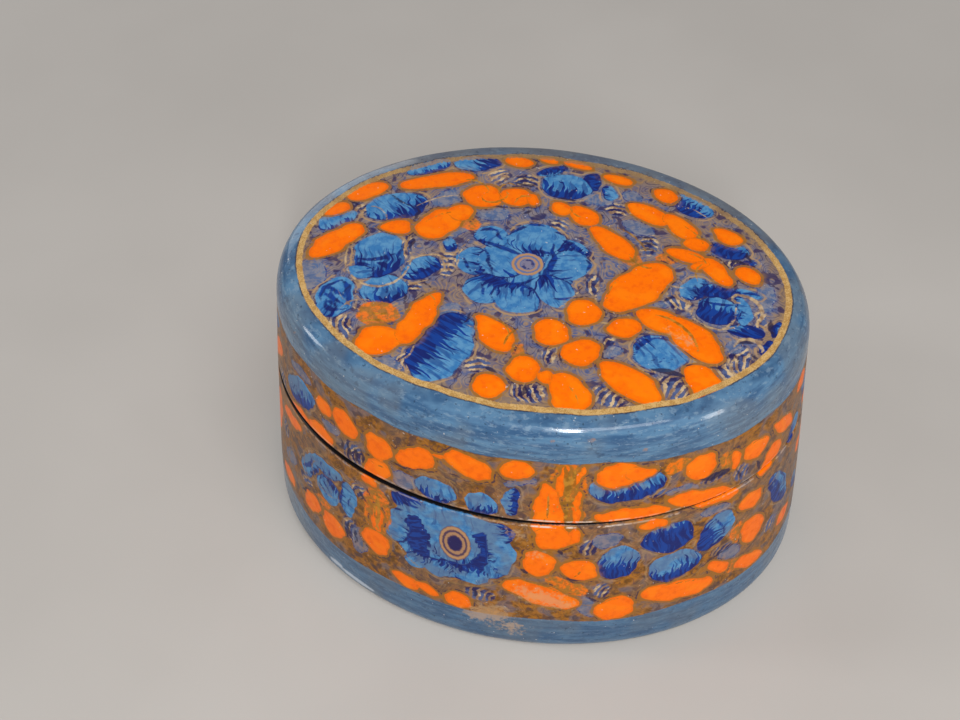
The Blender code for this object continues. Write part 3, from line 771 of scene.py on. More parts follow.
def lay_blue(x, y, petals, way_round):
    """As lay, with the tone from navy to pale, and the millimetres across the strokes."""
    edge, outline = np.full(len(x), FAR), np.full(len(x), FAR)
    tone, stroke = np.zeros(len(x)), np.zeros(len(x))
    for number, petal in enumerate(petals):
        middle_x, middle_y, half_length, half_width, turn, pale_side, navy, *taper = petal
        gap = oval(x, y, (*petal[:5], *taper), way_round)
        on_top = (gap < 0) | ((edge > 0) & (gap < edge))
        off = math.radians(pale_side - turn)
        half = math.hypot(half_length * math.cos(off), half_width * math.sin(off))
        towards, across = from_middle(x, y, middle_x, middle_y, pale_side, way_round)
        tone = np.where(on_top, towards / half - (2 * navy - 1), tone)
        stroke = np.where(on_top, across + NEXT_PETAL * number, stroke)
        outline = np.where(gap < 0, -gap, np.minimum(outline, gap))
        edge = np.minimum(edge, gap)
    return edge, outline, tone, stroke


print("blue petals also carry their tone and strokes")

# %% [markdown]
# Fans, curls and single strokes are laid the same way. A curl keeps only the part of its
# oval's outline that its degrees name, and a stroke is measured from its middle line.

# %% Fans, curls and strokes
FAN_BEND = 0.16       # how strongly the strokes of a fan curve


def lay_fans(x, y, fans, way_round):
    """The edge of the fans, and the millimetres across their strokes."""
    edge, stroke = np.full(len(x), FAR), np.zeros(len(x))
    for middle_x, middle_y, half_length, half_width, turn in fans:
        gap = oval(x, y, (middle_x, middle_y, half_length, half_width, 0), way_round)
        onward, across = from_middle(x, y, middle_x, middle_y, turn, way_round)
        stroke = np.where(gap < edge, across + FAN_BEND * onward ** 2, stroke)
        edge = np.minimum(edge, gap)
    return edge, stroke


def lay_curls(x, y, curls, way_round):
    """The edge of thin strokes, each a part of an oval's outline, pointed at both ends."""
    edge = np.full(len(x), FAR)
    for middle_x, middle_y, half_length, half_width, turn, start, sweep, thick in curls:
        gap = abs(oval(x, y, (middle_x, middle_y, half_length, half_width, turn), way_round))
        u, v = from_middle(x, y, middle_x, middle_y, turn, way_round)
        share = (np.degrees(np.arctan2(v / half_width, u / half_length)) - start) % 360 / sweep
        body = np.sin(math.pi * np.clip(share, 0, 1)) ** 0.5
        edge = np.minimum(edge, np.where(share < 1, gap - thick * body, FAR))
    return edge


def lay_strokes(x, y, strokes, way_round):
    """The edge of brush strokes from one point to another, bowed, and thin at both ends."""
    edge = np.full(len(x), FAR)
    for start_x, start_y, end_x, end_y, bow, thick in strokes:
        run_x, run_y = end_x - start_x, end_y - start_y
        length, turn = math.hypot(run_x, run_y), math.degrees(math.atan2(run_y, run_x))
        onward, off = from_middle(x, y, start_x, start_y, turn, way_round)
        share = onward / length
        on_stroke = np.clip(share, 0, 1)
        off = off - 4 * bow * on_stroke * (1 - on_stroke)
        body = 0.25 + 0.75 * np.sin(math.pi * on_stroke)
        gap = np.hypot(off, (share - on_stroke) * length) - thick * body
        edge = np.minimum(edge, gap)
    return edge


print("fans, curls and strokes can be laid")

# %% [markdown]
# The two charts meet under the blue band on the shoulder, where nothing of them shows.
# The back of the wall isn't in the photograph. Such boxes repeat their pattern, so the
# wall's chart repeats after half the way round.

# %% Painting numbers of one chart
def eyes_at(x, y, eyes, way_round):
    """How many of its own radiuses a point lies from the nearest flower's eye."""
    near = np.full(len(x), FAR)
    for middle_x, middle_y, half_width, half_height in eyes:
        side, rise = from_middle(x, y, middle_x, middle_y, 0, way_round)
        near = np.minimum(near, np.hypot(side / half_width, rise / half_height))
    return near


def numbers_in(x, y, motifs, way_round):
    """All painting numbers of one chart."""
    numbers = {"eye": eyes_at(x, y, motifs["eyes"], way_round)}
    numbers["fan_edge"], numbers["fan_stroke"] = lay_fans(x, y, motifs["fans"], way_round)
    numbers["curl_edge"] = lay_curls(x, y, motifs["curls"], way_round)
    numbers["stem_edge"] = lay_curls(x, y, motifs["stems"], way_round)
    x, y = bent(x, y, way_round)
    numbers["orange_edge"], numbers["orange_line"] = lay(x, y, motifs["orange"], way_round)
    (numbers["blue_edge"], numbers["blue_line"],
     numbers["tone"], numbers["stroke"]) = lay_blue(x, y, motifs["blue"], way_round)
    for name in ("ochre", "faint"):
        numbers[name + "_edge"], _ = lay(x, y, motifs[name], way_round)
    for name in ("ink", "dark"):
        numbers[name + "_edge"] = lay_strokes(x, y, motifs[name], way_round)
    return numbers


print("one chart gives the painting numbers for", len(PANEL), "kinds of motif")

# %% [markdown]
# The gold ring, the two blue bands and the painted shade in the seam's gap follow the form
# of the box instead of a chart of petals. Their borders are drawn freehand, so each gets a
# slow wave. Wear comes from use, so it doesn't repeat with the pattern, and neither does
# the highlight painted on the foot's band.

# %% Ring, bands and wear
NO_REPEAT = 1000.0
WHOLE_WAY = 2 * HALF_WAY
RING_MIDDLE, RING_HALF, RING_WIDTH = (0.0, 0.0), (34.3, 23.9), 0.9
BAND_LOW, BAND_LOW_DIP, DIP_AT = 41.6, 1.3, 42
FOOT_BAND = 7.3
CHART_CHANGE = (HEIGHT - 2.2 * MM) / MM
# Painted shade in the seam's gap: how far it reaches from each lip, in millimetres, and how
# much wider it grows to the left.
SEAM_SHADE, SEAM_SHADE_LEAN = 0.10, 0.004     # wider to the left, where the lid stands open


def painting_numbers(chart):
    """Painting numbers of every point: the panel's chart on top, the wall's on the side."""
    x, y, along, height = (chart[name] for name in ("x", "y", "along", "height"))
    panel = numbers_in(x, y, PANEL, NO_REPEAT)
    panel["worn_edge"], _ = lay(x, y, PANEL["worn"], NO_REPEAT)
    wall = numbers_in(along, height, WALL, HALF_WAY)
    wall["worn_edge"], _ = lay(along, height, WALL["worn"], WHOLE_WAY)
    on_top = height > CHART_CHANGE
    numbers = {name: np.where(on_top, panel[name], wall[name]) for name in panel}
    numbers["on_wall"] = np.where(on_top, 0.0, 1.0)
    # Painted highlight on the foot's band, and chips in the shoulder's band.
    numbers["foot_glint_edge"], _ = lay(along, height, FOOT_GLINTS, WHOLE_WAY)
    numbers["chip_edge"], _ = lay(along, height, BAND_CHIPS, WHOLE_WAY)

    ring = oval(x, y, (*RING_MIDDLE, *RING_HALF, 0), NO_REPEAT)
    ring = ring + 0.10 * np.sin(0.45 * x + 0.3 * y) + 0.05 * np.sin(1.1 * x)
    numbers["ring_edge"] = np.where(on_top, ring, FAR)
    # The band's lower border dips to the right of the front, and again at the back.
    beat = math.tau / HALF_WAY
    dip = np.clip(np.cos(beat * (along - DIP_AT)), 0, 1)
    low = BAND_LOW - BAND_LOW_DIP * dip + 0.15 * np.sin(9 * beat * along)
    shoulder = np.where(on_top, -ring, low - height)
    foot_top = FOOT_BAND + 0.25 * np.sin(5 * beat * along)
    numbers["band_edge"] = np.minimum(shoulder, height - foot_top)
    # Less than 0 near the seam's lips, where the gap gets its painted shade.
    numbers["seam_edge"] = chart["from_seam"] - SEAM_SHADE + SEAM_SHADE_LEAN * x
    return numbers


def keep_numbers(piece, numbers):
    """Stores the painting numbers on a piece's points."""
    for name, values in numbers.items():
        layer = piece.data.attributes.new(name, "FLOAT", "POINT")
        layer.data.foreach_set("value", values.astype(np.float32))
    print(piece.name, "carries", ", ".join(sorted(numbers)))


keep_numbers(base, painting_numbers(base_chart))
keep_numbers(lid, painting_numbers(lid_chart))

# %% [markdown]
# Only the outside is painted, so the script has to know which points lie inside. A point
# is inside if it lies deeper than the rim, below the roof. The flat of the underside
# counts as inside too.

# %% Inside and outside
RIM_DEPTH = 1.2       # millimetres of paint and ground that turn in at the seam


def is_inside(chart):
    """True for points of the unpainted inside, the seam's shelf and the underside."""
    outer = side_inset(np.minimum(chart["height"] * MM, SHOULDER_START)) / MM
    below_roof = chart["height"] < roof / MM + 0.2
    underside = (chart["height"] < 0.02) & (chart["inset"] > FOOT_ROUND / MM)
    return ((chart["inset"] > outer + RIM_DEPTH) & below_roof) | underside


print("inside points of the base:", int(is_inside(base_chart).sum()))

# %% [markdown]
# Pressed paper is never true. The round shells now take their oval places, with a swell
# and dip of at most a tenth of a millimetre, always inwards so that the box keeps its
# size. The lid then leans as it does in the photograph: its left end stands a quarter of
# a millimetre higher, which opens the dark line of the seam.

# %% From round shells to an oval box
SWELL = 0.09 * MM


def swell(places):
    """0 to 1: slow swells of the paper over a piece."""
    x, y, z = (places / MM).T
    wave = (np.sin(0.21 * x + 0.13 * z) + np.sin(0.27 * y - 0.19 * z + 1)
            + 0.5 * np.sin(0.55 * x + 0.4 * y + 0.31 * z))
    return np.clip(0.5 + wave / 5, 0, 1)


def seat(piece, chart, tilt_deg=0.0):
    """Gives a piece its oval, hand-smoothed and leaning form."""
    places = chart["places"].copy()
    dent = SWELL * swell(places) * ~is_inside(chart)
    reach = np.maximum(np.hypot(places[:, 0], places[:, 1]), 1 * MM)
    wall = np.clip(reach / (20 * MM), 0, 1)
    places[:, :2] *= (1 - dent * wall / reach)[:, None]
    places[:, 2] -= dent * (chart["height"] > CHART_CHANGE)
    lean = math.radians(tilt_deg)
    x, z = places[:, 0].copy(), places[:, 2] - lid_rim
    places[:, 0] = x * math.cos(lean) + z * math.sin(lean)
    places[:, 2] = z * math.cos(lean) - x * math.sin(lean) + lid_rim
    piece.data.vertices.foreach_set("co", places.ravel())
    piece.data.update()


seat(base, base_chart)
seat(lid, lid_chart, LID_TILT_DEG)
print("base and lid are oval; the lid leans by", LID_TILT_DEG, "degrees")

# %% [markdown]
# A shader is a formula. Written with one node call after another it is hard to read, so a
# small class wraps a socket and lets Python's own operators add the Math nodes. Colours
# go through Mix nodes instead, because a Math node would turn them grey.

# %% Shader maths
class Wire:
    """One output socket of a material's nodes."""

    def __init__(self, tree, socket=None):
        self.tree, self.socket = tree, socket

    def node(self, kind, settings=None, values=None, out=0):
        """Adds a node: its type, its settings, then the values or links of its sockets."""
        made = self.tree.nodes.new(kind)
        for name, value in (settings or {}).items():
            setattr(made, name, value)
        for name, value in (values or {}).items():
            if isinstance(value, Wire):
                self.tree.links.new(value.socket, made.inputs[name])
            else:
                made.inputs[name].default_value = value
        return Wire(self.tree, made.outputs[out])

    def math(self, operation, *operands):
        return self.node("ShaderNodeMath", {"operation": operation},
                         dict(enumerate(operands)))

    def __add__(self, other): return self.math("ADD", self, other)
    def __radd__(self, other): return self.math("ADD", other, self)
    def __sub__(self, other): return self.math("SUBTRACT", self, other)
    def __rsub__(self, other): return self.math("SUBTRACT", other, self)
    def __mul__(self, other): return self.math("MULTIPLY", self, other)
    def __rmul__(self, other): return self.math("MULTIPLY", other, self)
    def __truediv__(self, other): return self.math("DIVIDE", self, other)
    def __abs__(self): return self.math("ABSOLUTE", self)

    def rises(self, low, high):
        """0 below low and 1 above high, with a smooth way between. Falls if low > high."""
        return self.node("ShaderNodeMapRange", {"interpolation_type": "SMOOTHSTEP"},
                         {"Value": self, "From Min": low, "From Max": high})

    def line(self, middle, half_width, soft=0.07):
        """1 on a line where this value is near the middle, 0 away from it."""
        return abs(self - middle).rises(half_width + soft / 2, half_width - soft / 2)

    def over(self, below, above):
        """The colour below, covered by the colour above as far as this mask says."""
        return self.node("ShaderNodeMix", {"data_type": "RGBA"},
                         {0: self, 6: below, 7: above}, out=2)


def paint(red, green, blue):
    """A paint as the eye sees it, 0 to 255 each, as the linear colour that nodes take."""
    channels = [value / 255 for value in (red, green, blue)]
    return (*[value / 12.92 if value <= 0.04045 else ((value + 0.055) / 1.055) ** 2.4
              for value in channels], 1.0)


def new_finish(name):
    """A material with its Principled shader, and a wire to build its nodes from."""
    finish = bpy.data.materials.new(name)
    finish.use_nodes = True
    return finish, finish.node_tree.nodes["Principled BSDF"], Wire(finish.node_tree)


def grain(place, size_mm, detail=2.0, roughness=0.5, stretch=(1.0, 1.0, 1.0)):
    """Noise from 0 to 1 with features of a size, in Object coordinates of the piece."""
    stretched = place.node("ShaderNodeMapping", {}, {"Vector": place, "Scale": stretch})
    return place.node("ShaderNodeTexNoise", {"noise_dimensions": "3D"},
                      {"Vector": stretched, "Scale": 1 / (size_mm * MM), "Detail": detail,
                       "Roughness": roughness})


print("shader maths ready; orange paint is", [round(value, 3) for value in paint(255, 115, 0)])

# %% [markdown]
# The painted finish is built as the painter built it: ground first, then fans, faint
# petals, blue flowers, orange petals, gold lines, the blue bands, and at last wear and
# varnish. Each layer is a mask made from the distances, softened by noise where the
# brush ran dry, and laid over the colour below. All layers share a few noises, so these
# are made once and kept together.

# %% What all layers of paint share
class Hand:
    """The place on a piece, the noises of brush and paint, and the painting numbers."""

    def __init__(self, start):
        self.start = start
        self.place = start.node("ShaderNodeTexCoord", out=3)
        self.brush = grain(self.place, 0.45)
        self.cloud = grain(self.place, 3.0)
        self.dry = grain(self.place, 1.1, 3.0, 0.6)
        self.zone = grain(self.place, 8.0, 1.0)
        self.shake = (self.brush - 0.5) * 0.22
        self.on_wall = self.number("on_wall")

    def number(self, attribute):
        """A painting number of the mesh's points."""
        return self.start.node("ShaderNodeAttribute", {"attribute_name": attribute}, out=2)

    def shaken(self, attribute, much):
        """A distance to an edge, drawn with an unsteady brush."""
        return self.number(attribute) + self.shake * much

    def far_along(self, axis):
        """Millimetres along X, Y or Z (0, 1 or 2) from the middle of the foot."""
        return self.place.node("ShaderNodeSeparateXYZ", {}, {"Vector": self.place},
                               out=axis) / MM

    def streaks(self, across, onward, scale, detail):
        """Noise that runs along the strokes of a petal or fan."""
        spread = self.start.node("ShaderNodeCombineXYZ", {}, {"X": across, "Y": onward})
        return self.start.node("ShaderNodeTexNoise", {"noise_dimensions": "2D"},
                               {"Vector": spread, "Scale": scale, "Detail": detail})


print("one hand paints all layers")

# %% [markdown]
# The panel's ground is grey-blue, warmer towards the gold ring, and the wall's is brown
# and ochre. Thin tan and navy curls cover both. They follow the contour lines of a
# noise: a noise times 11, cut to its fraction, is the same along each contour.

# %% Ground
def ground_paint(hand):
    """Both grounds, with their curls and the dark gaps between the motifs."""
    cloud, dry, zone, on_wall = hand.cloud, hand.dry, hand.zone, hand.on_wall
    swirl = grain(hand.place, 2.6, 0.5)
    wave = hand.start.math("FRACT", swirl * 11.0 + (hand.brush - 0.5) * 0.3)
    curl_tan = wave.line(0.5, 0.13, 0.12) * cloud.rises(0.44, 0.54)
    curl_navy = wave.line(0.05, 0.10, 0.1) * cloud.rises(0.6, 0.45)

    cool = dry.rises(0.38, 0.60).over(paint(84, 94, 134), paint(132, 122, 126))
    cool = (zone.rises(0.5, 0.62) * 0.4).over(cool, paint(134, 104, 78))
    rim = (hand.number("ring_edge") + (cloud - 0.5) * 5).rises(-2.6, -1.2)
    cool = (rim * 0.7).over(cool, paint(138, 112, 84))
    warm = dry.rises(0.32, 0.68).over(paint(104, 67, 24), paint(168, 108, 36))
    warm = (cloud.rises(0.52, 0.62) * 0.6).over(warm, paint(94, 96, 114))
    warm = (zone.rises(0.58, 0.44) * 0.4).over(warm, paint(118, 102, 94))

    colour = on_wall.over(cool, warm)
    colour = (curl_tan * (0.65 - on_wall * 0.3)).over(colour, paint(164, 130, 88))
    colour = (curl_navy * (0.75 - on_wall * 0.35)).over(colour, paint(48, 38, 70))
    gaps = grain(hand.place, 1.7, 1.0).rises(0.57, 0.64)
    gap_colour = on_wall.over(paint(46, 38, 82), paint(74, 58, 62))
    return (gaps * (0.8 - on_wall * 0.15)).over(colour, gap_colour)


print("ground: grey-blue on the panel, brown on the wall")

# %% [markdown]
# A fan's strokes come from a sine of the millimetres across them. Noise in the sine and in
# its threshold makes them as uneven as brushed ones. The faint petals are one thin coat
# with a broken dark outline.

# %% Fans and faint petals
def fans_and_faint_petals(hand, colour):
    """Tan strokes on navy, then the petals that stayed half painted."""
    brush, cloud, dry, on_wall = hand.brush, hand.cloud, hand.dry, hand.on_wall
    fan = hand.shaken("fan_edge", 3).rises(0.25, -0.15)
    wobble = (cloud - 0.5) * 2.0 + (dry - 0.5) * 0.9
    stripes = hand.start.math("SINE", (hand.number("fan_stroke") + wobble) * math.tau)
    tan = (dry - on_wall * 0.1).rises(0.4, 0.6).over(paint(140, 108, 84),
                                                     paint(210, 182, 142))
    between = (cloud * 0.5 + dry * 0.5).rises(0.44, 0.56).over(paint(38, 34, 82),
                                                               paint(76, 94, 138))
    fan_colour = (stripes + (brush - 0.5) * 1.6).rises(-0.1, 0.5).over(between, tan)
    colour = (fan * 0.92).over(colour, fan_colour)

    faint_edge = hand.shaken("faint_edge", 2)
    faint_colour = dry.rises(0.4, 0.6).over(paint(86, 112, 150), paint(122, 132, 154))
    colour = (faint_edge.rises(0.12, -0.08) * 0.62).over(colour, faint_colour)
    outline = faint_edge.line(-0.05, 0.08) * brush.rises(0.4, 0.6)
    return outline.over(colour, paint(48, 56, 120))


print("fans and faint petals over the ground")

# %% [markdown]
# The saw teeth of a blue petal are the heart of this style. The stroke number is cut into
# teeth, each with a random length and a point in its middle, and a tooth is navy up to
# where the petal's tone passes its point. Softer streaks then grade the blue between.

# %% Blue flowers and leaves in paint
TOOTH = 0.8       # millimetres between the saw-toothed strokes


def blue_petals(hand, colour):
    """Gold line outside, saw-toothed strokes inside, and ink strokes on top."""
    dry, cloud, on_wall = hand.dry, hand.cloud, hand.on_wall
    blue_edge = hand.shaken("blue_edge", 0.7)
    gold_line = blue_edge.line(0.46, 0.15, 0.1) * cloud.rises(0.42, 0.54)
    colour = (gold_line * (0.8 - on_wall * 0.4)).over(colour, paint(174, 140, 102))

    tone, stroke = hand.number("tone"), hand.number("stroke")
    tooth = stroke * (1 / TOOTH) + hand.streaks(stroke, tone * 1.5, 0.9, 1.0) * 1.6
    length = hand.start.node("ShaderNodeTexWhiteNoise", {"noise_dimensions": "1D"},
                             {"W": hand.start.math("FLOOR", tooth)})
    point = 1 - abs(hand.start.math("FRACT", tooth) - 0.5) * 2
    navy = (tone + 0.3 - point * (0.15 + length * 0.95) + hand.shake).rises(0.04, -0.06)

    strands = hand.streaks(stroke, tone * 0.5 + 5.0, 1.5, 2.0)
    middle_blue = (tone * 0.35 + (strands - 0.5) * 3.4).rises(0.12, -0.35)
    pale = dry.rises(0.35, 0.65).over(paint(58, 118, 174), paint(92, 146, 188))
    petal = (middle_blue * 0.75).over(pale, paint(38, 76, 138))
    # Blue on the wall turns greyer and a little darker in patches.
    thin = on_wall * cloud.rises(0.42, 0.58)
    petal = (thin * 0.55).over(petal, paint(98, 112, 136))
    navy_paint = strands.rises(0.42, 0.58).over(paint(24, 38, 104), paint(24, 62, 142))
    petal = navy.over(petal, navy_paint)

    at_root = (tone - 0.5 + (dry - 0.5) * 2).rises(0.3, 0.0)
    root = hand.number("blue_line").line(0.0, 0.13, 0.12) * at_root
    petal = (root * 0.9).over(petal, paint(26, 32, 98))
    ink = hand.shaken("ink_edge", 1.4).rises(0.10, -0.12)
    ink_colour = strands.rises(0.4, 0.6).over(paint(22, 28, 92), paint(18, 54, 136))
    petal = (ink * 0.92).over(petal, ink_colour)
    blue = blue_edge.rises(0.1, -0.06)
    return blue.over(colour, petal), blue


print("saw teeth every", TOOTH, "mm")

# %% [markdown]
# A flower's eye is a disc with two tan rings. Its distance is counted in radiuses of the
# eye, so one set of numbers paints the round eye on the lid and the tall one on the wall.
# The gold curls come next, because the orange petals will cover their ends.

# %% Flowers' eyes and gold curls
def eyes_and_curls(hand, colour):
    """Pupil, rings and the curls round the flowers."""
    brush, dry, on_wall = hand.brush, hand.dry, hand.on_wall
    eye = hand.number("eye") + (brush - 0.5) * 0.14
    pupil = dry.rises(0.44, 0.54).over(paint(58, 60, 108), paint(126, 120, 142))
    pupil = on_wall.over(pupil, paint(40, 34, 84))
    iris = on_wall.over(paint(96, 112, 154), paint(84, 62, 84))
    eye_colour = eye.rises(0.4, 0.5).over(pupil, iris)
    rings = eye.line(0.92, 0.09, 0.1) + eye.line(0.60, 0.09, 0.08) * 0.85
    eye_colour = rings.over(eye_colour, paint(180, 136, 96))
    colour = eye.rises(1.1, 1.0).over(colour, eye_colour)

    curl = (hand.number("curl_edge") + (brush - 0.5) * 0.3).rises(0.05, -0.08)
    gold = dry.rises(0.4, 0.6).over(paint(150, 118, 84), paint(204, 174, 130))
    gold = (on_wall * 0.8).over(gold, paint(138, 104, 58))
    return (curl * (0.8 - on_wall * 0.15)).over(colour, gold)


print("eyes and curls over the flowers")

# %% [markdown]
# Orange is the thickest paint. Each petal sits in a brown-gold halo with a dark stroke
# here and there, and is a little deeper towards its edge. Olive strokes cross some of
# the petals last.

# %% Orange petals in paint
def orange_petals(hand, colour):
    """Ochre glazes, outlines and dark strokes, the orange itself, and olive strokes."""
    brush, cloud, dry, on_wall = hand.brush, hand.cloud, hand.dry, hand.on_wall
    ochre = dry.rises(0.42, 0.58).over(paint(174, 114, 36), paint(240, 116, 8))
    ochre = (brush.rises(0.5, 0.62) * 0.45).over(ochre, paint(130, 92, 34))
    glaze = hand.shaken("ochre_edge", 2.5).rises(0.15, -0.15)
    colour = (glaze * 0.9).over(colour, ochre)

    edge = hand.shaken("orange_edge", 0.8)
    halo = edge.rises(1.3, 0.3) * dry.rises(0.36, 0.56)
    halo_colour = on_wall.over(paint(146, 108, 62), paint(160, 104, 30))
    colour = (halo * 0.45).over(colour, halo_colour)
    outline = edge.line(0.2, 0.22, 0.14) * brush.rises(0.25, 0.45)
    colour = (outline * 0.85).over(colour, paint(156, 102, 36))
    shadow = edge.line(0.5, 0.12, 0.12) * cloud.rises(0.50, 0.42) * brush.rises(0.4, 0.55)
    colour = (shadow * 0.85).over(colour, paint(54, 42, 66))
    dark = hand.shaken("dark_edge", 1.6).rises(0.10, -0.12)
    colour = (dark * 0.85).over(colour, paint(42, 34, 62))

    petal = dry.rises(0.45, 0.75).over(paint(254, 115, 0), paint(242, 100, 4))
    petal = (cloud.rises(0.5, 0.62) * 0.5).over(petal, paint(255, 132, 6))
    deep = (edge + (brush - 0.5) * 0.5).rises(-0.55, -0.1)
    petal = (deep * 0.4).over(petal, paint(206, 92, 8))
    crease = hand.number("orange_line").line(0.0, 0.10, 0.12) * brush.rises(0.3, 0.5)
    petal = (crease * 0.75).over(petal, paint(196, 106, 20))
    orange = edge.rises(0.05, -0.05)
    colour = orange.over(colour, petal)

    stem = (hand.number("stem_edge") + (brush - 0.5) * 0.3).rises(0.05, -0.08)
    olive = dry.rises(0.4, 0.6).over(paint(136, 92, 24), paint(186, 132, 44))
    return (stem * 0.85).over(colour, olive), orange


print("orange petals over all that")

# %% [markdown]
# The blue bands were brushed round the box, so their noises are stretched along it.
# Towards the back they turn browner and greyer and the gold ring duller, the foot is
# darker, and small chips and specks break the paint. The foot's band also carries a pale
# painted highlight. The gold ring closes the panel, with a thin dark line where it casts a
# shadow.

# %% Blue bands and gold ring
def bands_and_ring(hand, colour):
    """The bands on the shoulder and the foot, and the ring round the panel."""
    brush, cloud, dry = hand.brush, hand.cloud, hand.dry
    streak = grain(hand.place, 2.0, 3.0, 0.6, (0.35, 0.35, 2.2))
    scratch = grain(hand.place, 0.6, 3.0, 0.7, (0.45, 0.45, 1.6))
    blue = streak.rises(0.35, 0.65).over(paint(56, 90, 126), paint(88, 126, 158))
    blue = (scratch.rises(0.52, 0.66) * 0.5).over(blue, paint(128, 152, 172))
    blue = (dry.rises(0.58, 0.7) * 0.55).over(blue, paint(40, 64, 96))
    blue = (hand.zone.rises(0.5, 0.64) * 0.35).over(blue, paint(112, 116, 116))
    # Browner and greyer towards the back of the box.
    toward_back = (hand.far_along(1) + (cloud - 0.5) * 30).rises(2.0, 22.0)
    blue = (toward_back * 0.5).over(blue, paint(112, 104, 100))
    foot = hand.far_along(2).rises(9.0, 6.0)
    blue = (foot * 0.35).over(blue, paint(40, 72, 104))
    specks = grain(hand.place, 0.5, 1.0).rises(0.68, 0.76)
    blue = (specks * 0.6).over(blue, paint(30, 50, 70))
    # Painted highlight: a pale blue-white glint on the foot's band.
    foot_glint = hand.shaken("foot_glint_edge", 2).rises(0.25, -0.25)
    blue = (foot_glint * 0.8).over(blue, paint(196, 208, 222))
    chips = hand.shaken("chip_edge", 3).rises(0.15, -0.15)
    blue = (chips * 0.6).over(blue, paint(158, 122, 98))
    band = (hand.number("band_edge") + (brush - 0.5) * 0.25).rises(0.08, -0.08)
    colour = band.over(colour, blue)

    ring_edge = hand.number("ring_edge") + (brush - 0.5) * (0.3 + toward_back * 0.7)
    ring = ring_edge.line(-RING_WIDTH / 2, RING_WIDTH / 2, 0.14) * (1 - toward_back * 0.3)
    sparkle = grain(hand.place, 0.16, 1.0) * 0.5 + dry * 0.5
    gold = sparkle.rises(0.42, 0.58).over(paint(176, 134, 76), paint(206, 168, 108))
    gold = (toward_back * 0.7).over(gold, paint(132, 106, 76))
    colour = ring.over(colour, gold)
    shadow = ring_edge.line(0.08, 0.09, 0.1) * cloud.rises(0.4, 0.55)
    return (shadow * 0.7).over(colour, paint(52, 46, 58)), band


print("bands and ring close the painting")

# %% [markdown]
# Wear is laid over all the paint: pale plaster where the foot is worn. A broken pale line
# along the seam's edges is painted highlight where the rims catch the lamps, strongest a
# little to the right of the front's middle, and pale chips of the paint all round. Pale
# specks paint the small glints of the varnish and dust, and the seam's gap gets painted
# shade, near black.

# %% Wear
# The highlight painted along the seam's edges is strongest here.
SEAM_GLINT_X = 9.0      # millimetres to the right of the middle


def wear(hand, colour):
    """Worn places, painted highlight and chips along the seam, painted glints and dust, and
    painted shade in the seam.
    """
    brush, cloud, dry = hand.brush, hand.cloud, hand.dry
    worn = (hand.number("worn_edge") + (dry - 0.5) * 6 + (brush - 0.5) * 4).rises(0.6, -1.4)
    colour = (worn * 0.5).over(colour, paint(206, 166, 122))
    seam = hand.number("seam_edge")
    # Along the seam's edges: a pale line that is painted highlight near the front's middle, and
    # pale chips of the paint all round.
    seam_glint_and_chips = seam.line(0.32, 0.14, 0.16) * (dry * 0.6 + cloud * 0.4).rises(0.46, 0.56)
    near_seam_glint = abs(hand.far_along(0) - SEAM_GLINT_X).rises(9.0, 4.0)
    seam_glint_and_chips = seam_glint_and_chips * (0.3 + near_seam_glint * 0.7) * hand.on_wall
    colour = (seam_glint_and_chips * 0.95).over(colour, paint(224, 206, 192))
    # Pale specks all over: painted glints of the varnish, and dust.
    glint_and_dust_specks = grain(hand.place, 0.35, 0.0).rises(0.84, 0.87)
    colour = (glint_and_dust_specks * 0.6).over(colour, paint(214, 208, 204))
    # Painted shade, near black, in the seam's gap and on its lips.
    painted_seam_shade = (seam + (brush - 0.5) * 0.2).rises(0.12, -0.06)
    return painted_seam_shade.over(colour, paint(14, 12, 14)), worn


print("wear over the paint")

# %% [markdown]
# Under the varnish the paint keeps its low relief: thick orange, thinner blue, the lumps
# of the paper, and the brush marks of the bands. A bump is enough for that, as the relief
# is only a few hundredths of a millimetre. The bands carry more varnish than the
# pattern, so they get more coat and take the glints of the lamps.

# %% Painted and varnished finish
def painted_finish(name):
    """The painting with its varnish, for the outside of both pieces."""
    finish, shader, start = new_finish(name)
    hand = Hand(start)
    colour = fans_and_faint_petals(hand, ground_paint(hand))
    colour, blue = blue_petals(hand, colour)
    colour, orange = orange_petals(hand, eyes_and_curls(hand, colour))
    colour, band = bands_and_ring(hand, colour)
    colour, worn = wear(hand, colour)
    start.tree.links.new(colour.socket, shader.inputs["Base Color"])

    gloss = 0.36 + (hand.dry - 0.5) * 0.3 + worn * 0.25
    start.tree.links.new(gloss.socket, shader.inputs["Roughness"])
    lumps = (grain(hand.place, 6.0, 1.0) * 5.0
             + grain(hand.place, 1.5, 2.0) * (1.5 + band * 2.0)
             + grain(hand.place, 0.6, 1.0) * band * 1.2)
    height = orange * 0.5 + blue * 0.3 + hand.brush * 0.3 + lumps - worn * 0.8
    bump = start.node("ShaderNodeBump", {}, {"Height": height, "Distance": 0.05 * MM,
                                             "Strength": 0.7})
    start.tree.links.new(bump.socket, shader.inputs["Normal"])
    shader.inputs["Specular IOR Level"].default_value = 0.09
    coat = band * 0.45 + 0.17 - (1 - band) * hand.on_wall * 0.09
    start.tree.links.new(coat.socket, shader.inputs["Coat Weight"])
    shader.inputs["Coat Roughness"].default_value = 0.10
    return finish


base_finish, lid_finish = painted_finish("flowers_on_base"), painted_finish("flowers_on_lid")
print("painted finishes:", base_finish.name, "with",
      len(base_finish.node_tree.nodes), "nodes, and", lid_finish.name)

# %% [markdown]
# Nobody paints flowers where they aren't seen. The inside, the collar and the underside
# of such boxes have one coat of dark lacquer over the bare paper, brushed on so thin that
# some of the paper's fibres show.

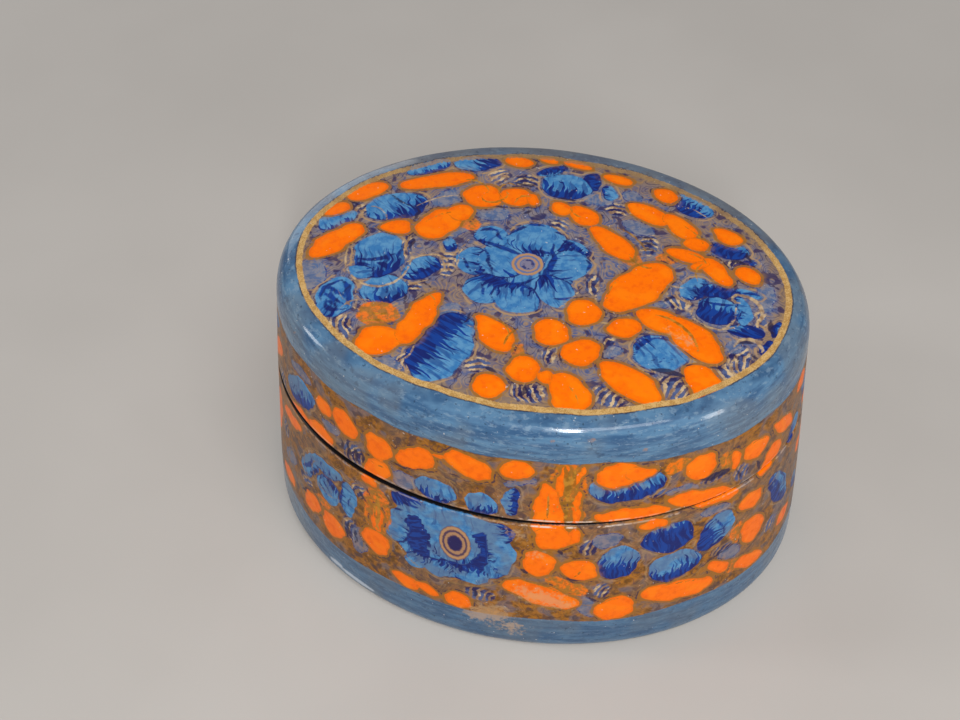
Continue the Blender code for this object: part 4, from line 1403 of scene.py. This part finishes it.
# %% Dark lacquer for the inside
def lacquer_finish(name):
    """Dark brushed lacquer on pressed paper."""
    finish, shader, start = new_finish(name)
    place = start.node("ShaderNodeTexCoord", out=3)
    streaks = grain(place, 1.6, 3.0, 0.6, (0.4, 0.4, 2.0))
    fibre = grain(place, 0.5, 3.0, 0.7)
    colour = streaks.rises(0.3, 0.7).over(paint(22, 16, 14), paint(46, 32, 26))
    colour = (fibre.rises(0.66, 0.74) * 0.5).over(colour, paint(96, 70, 50))
    start.tree.links.new(colour.socket, shader.inputs["Base Color"])
    gloss = 0.42 + (fibre - 0.5) * 0.3
    start.tree.links.new(gloss.socket, shader.inputs["Roughness"])
    bump = start.node("ShaderNodeBump", {}, {"Height": fibre + streaks, "Distance": 0.05 * MM,
                                             "Strength": 0.5})
    start.tree.links.new(bump.socket, shader.inputs["Normal"])
    return finish


dark_lacquer = lacquer_finish("dark_lacquer")
print("inside finish:", dark_lacquer.name)

# %% [markdown]
# Each shell carries both materials, and each face takes one of them, by the point that it
# starts with. Shading is smooth except over the rims, where the faces meet at more than
# fifty degrees.

# %% Dressing the shells
SHARP_DEG = 50


def dress(piece, chart, outside, inside):
    """Paint on the outside, lacquer inside, and smooth shading up to the sharp rims."""
    piece.data.materials.append(outside)
    piece.data.materials.append(inside)
    corners = np.empty(len(piece.data.loops), np.int32)
    piece.data.loops.foreach_get("vertex_index", corners)
    starts = np.empty(len(piece.data.polygons), np.int32)
    piece.data.polygons.foreach_get("loop_start", starts)
    lacquered = is_inside(chart)[corners[starts]].astype(np.int32)
    piece.data.polygons.foreach_set("material_index", lacquered)
    alone()
    piece.select_set(True)
    bpy.context.view_layer.objects.active = piece
    bpy.ops.object.shade_smooth_by_angle(angle=math.radians(SHARP_DEG))
    print(piece.name, "dressed:", int(lacquered.sum()), "faces are lacquered")


dress(base, base_chart, base_finish, dark_lacquer)
dress(lid, lid_chart, lid_finish, dark_lacquer)

# %% [markdown]
# The studio floor is matt pale paint. A little mottling keeps it from looking like an
# empty background.

# %% Floor finish
floor_finish, shader, start = new_finish("pale_floor")
place = start.node("ShaderNodeTexCoord", out=3)
mottle = grain(place, 60.0, 3.0)
floor_colour = mottle.rises(0.3, 0.7).over(paint(184, 179, 173), paint(190, 185, 179))
start.tree.links.new(floor_colour.socket, shader.inputs["Base Color"])
shader.inputs["Roughness"].default_value = 0.85
ground.data.materials.append(floor_finish)
print("floor painted")

# %% [markdown]
# The fine shells now stand for the two imported bodies: each hangs from the root body,
# and the imported part that it replaces is hidden.

# %% Handing the pieces over
for piece, node, slot in ((base, "box_base", "painted_base"), (lid, "lid", "painted_lid")):
    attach(piece, "root")
    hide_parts(node)
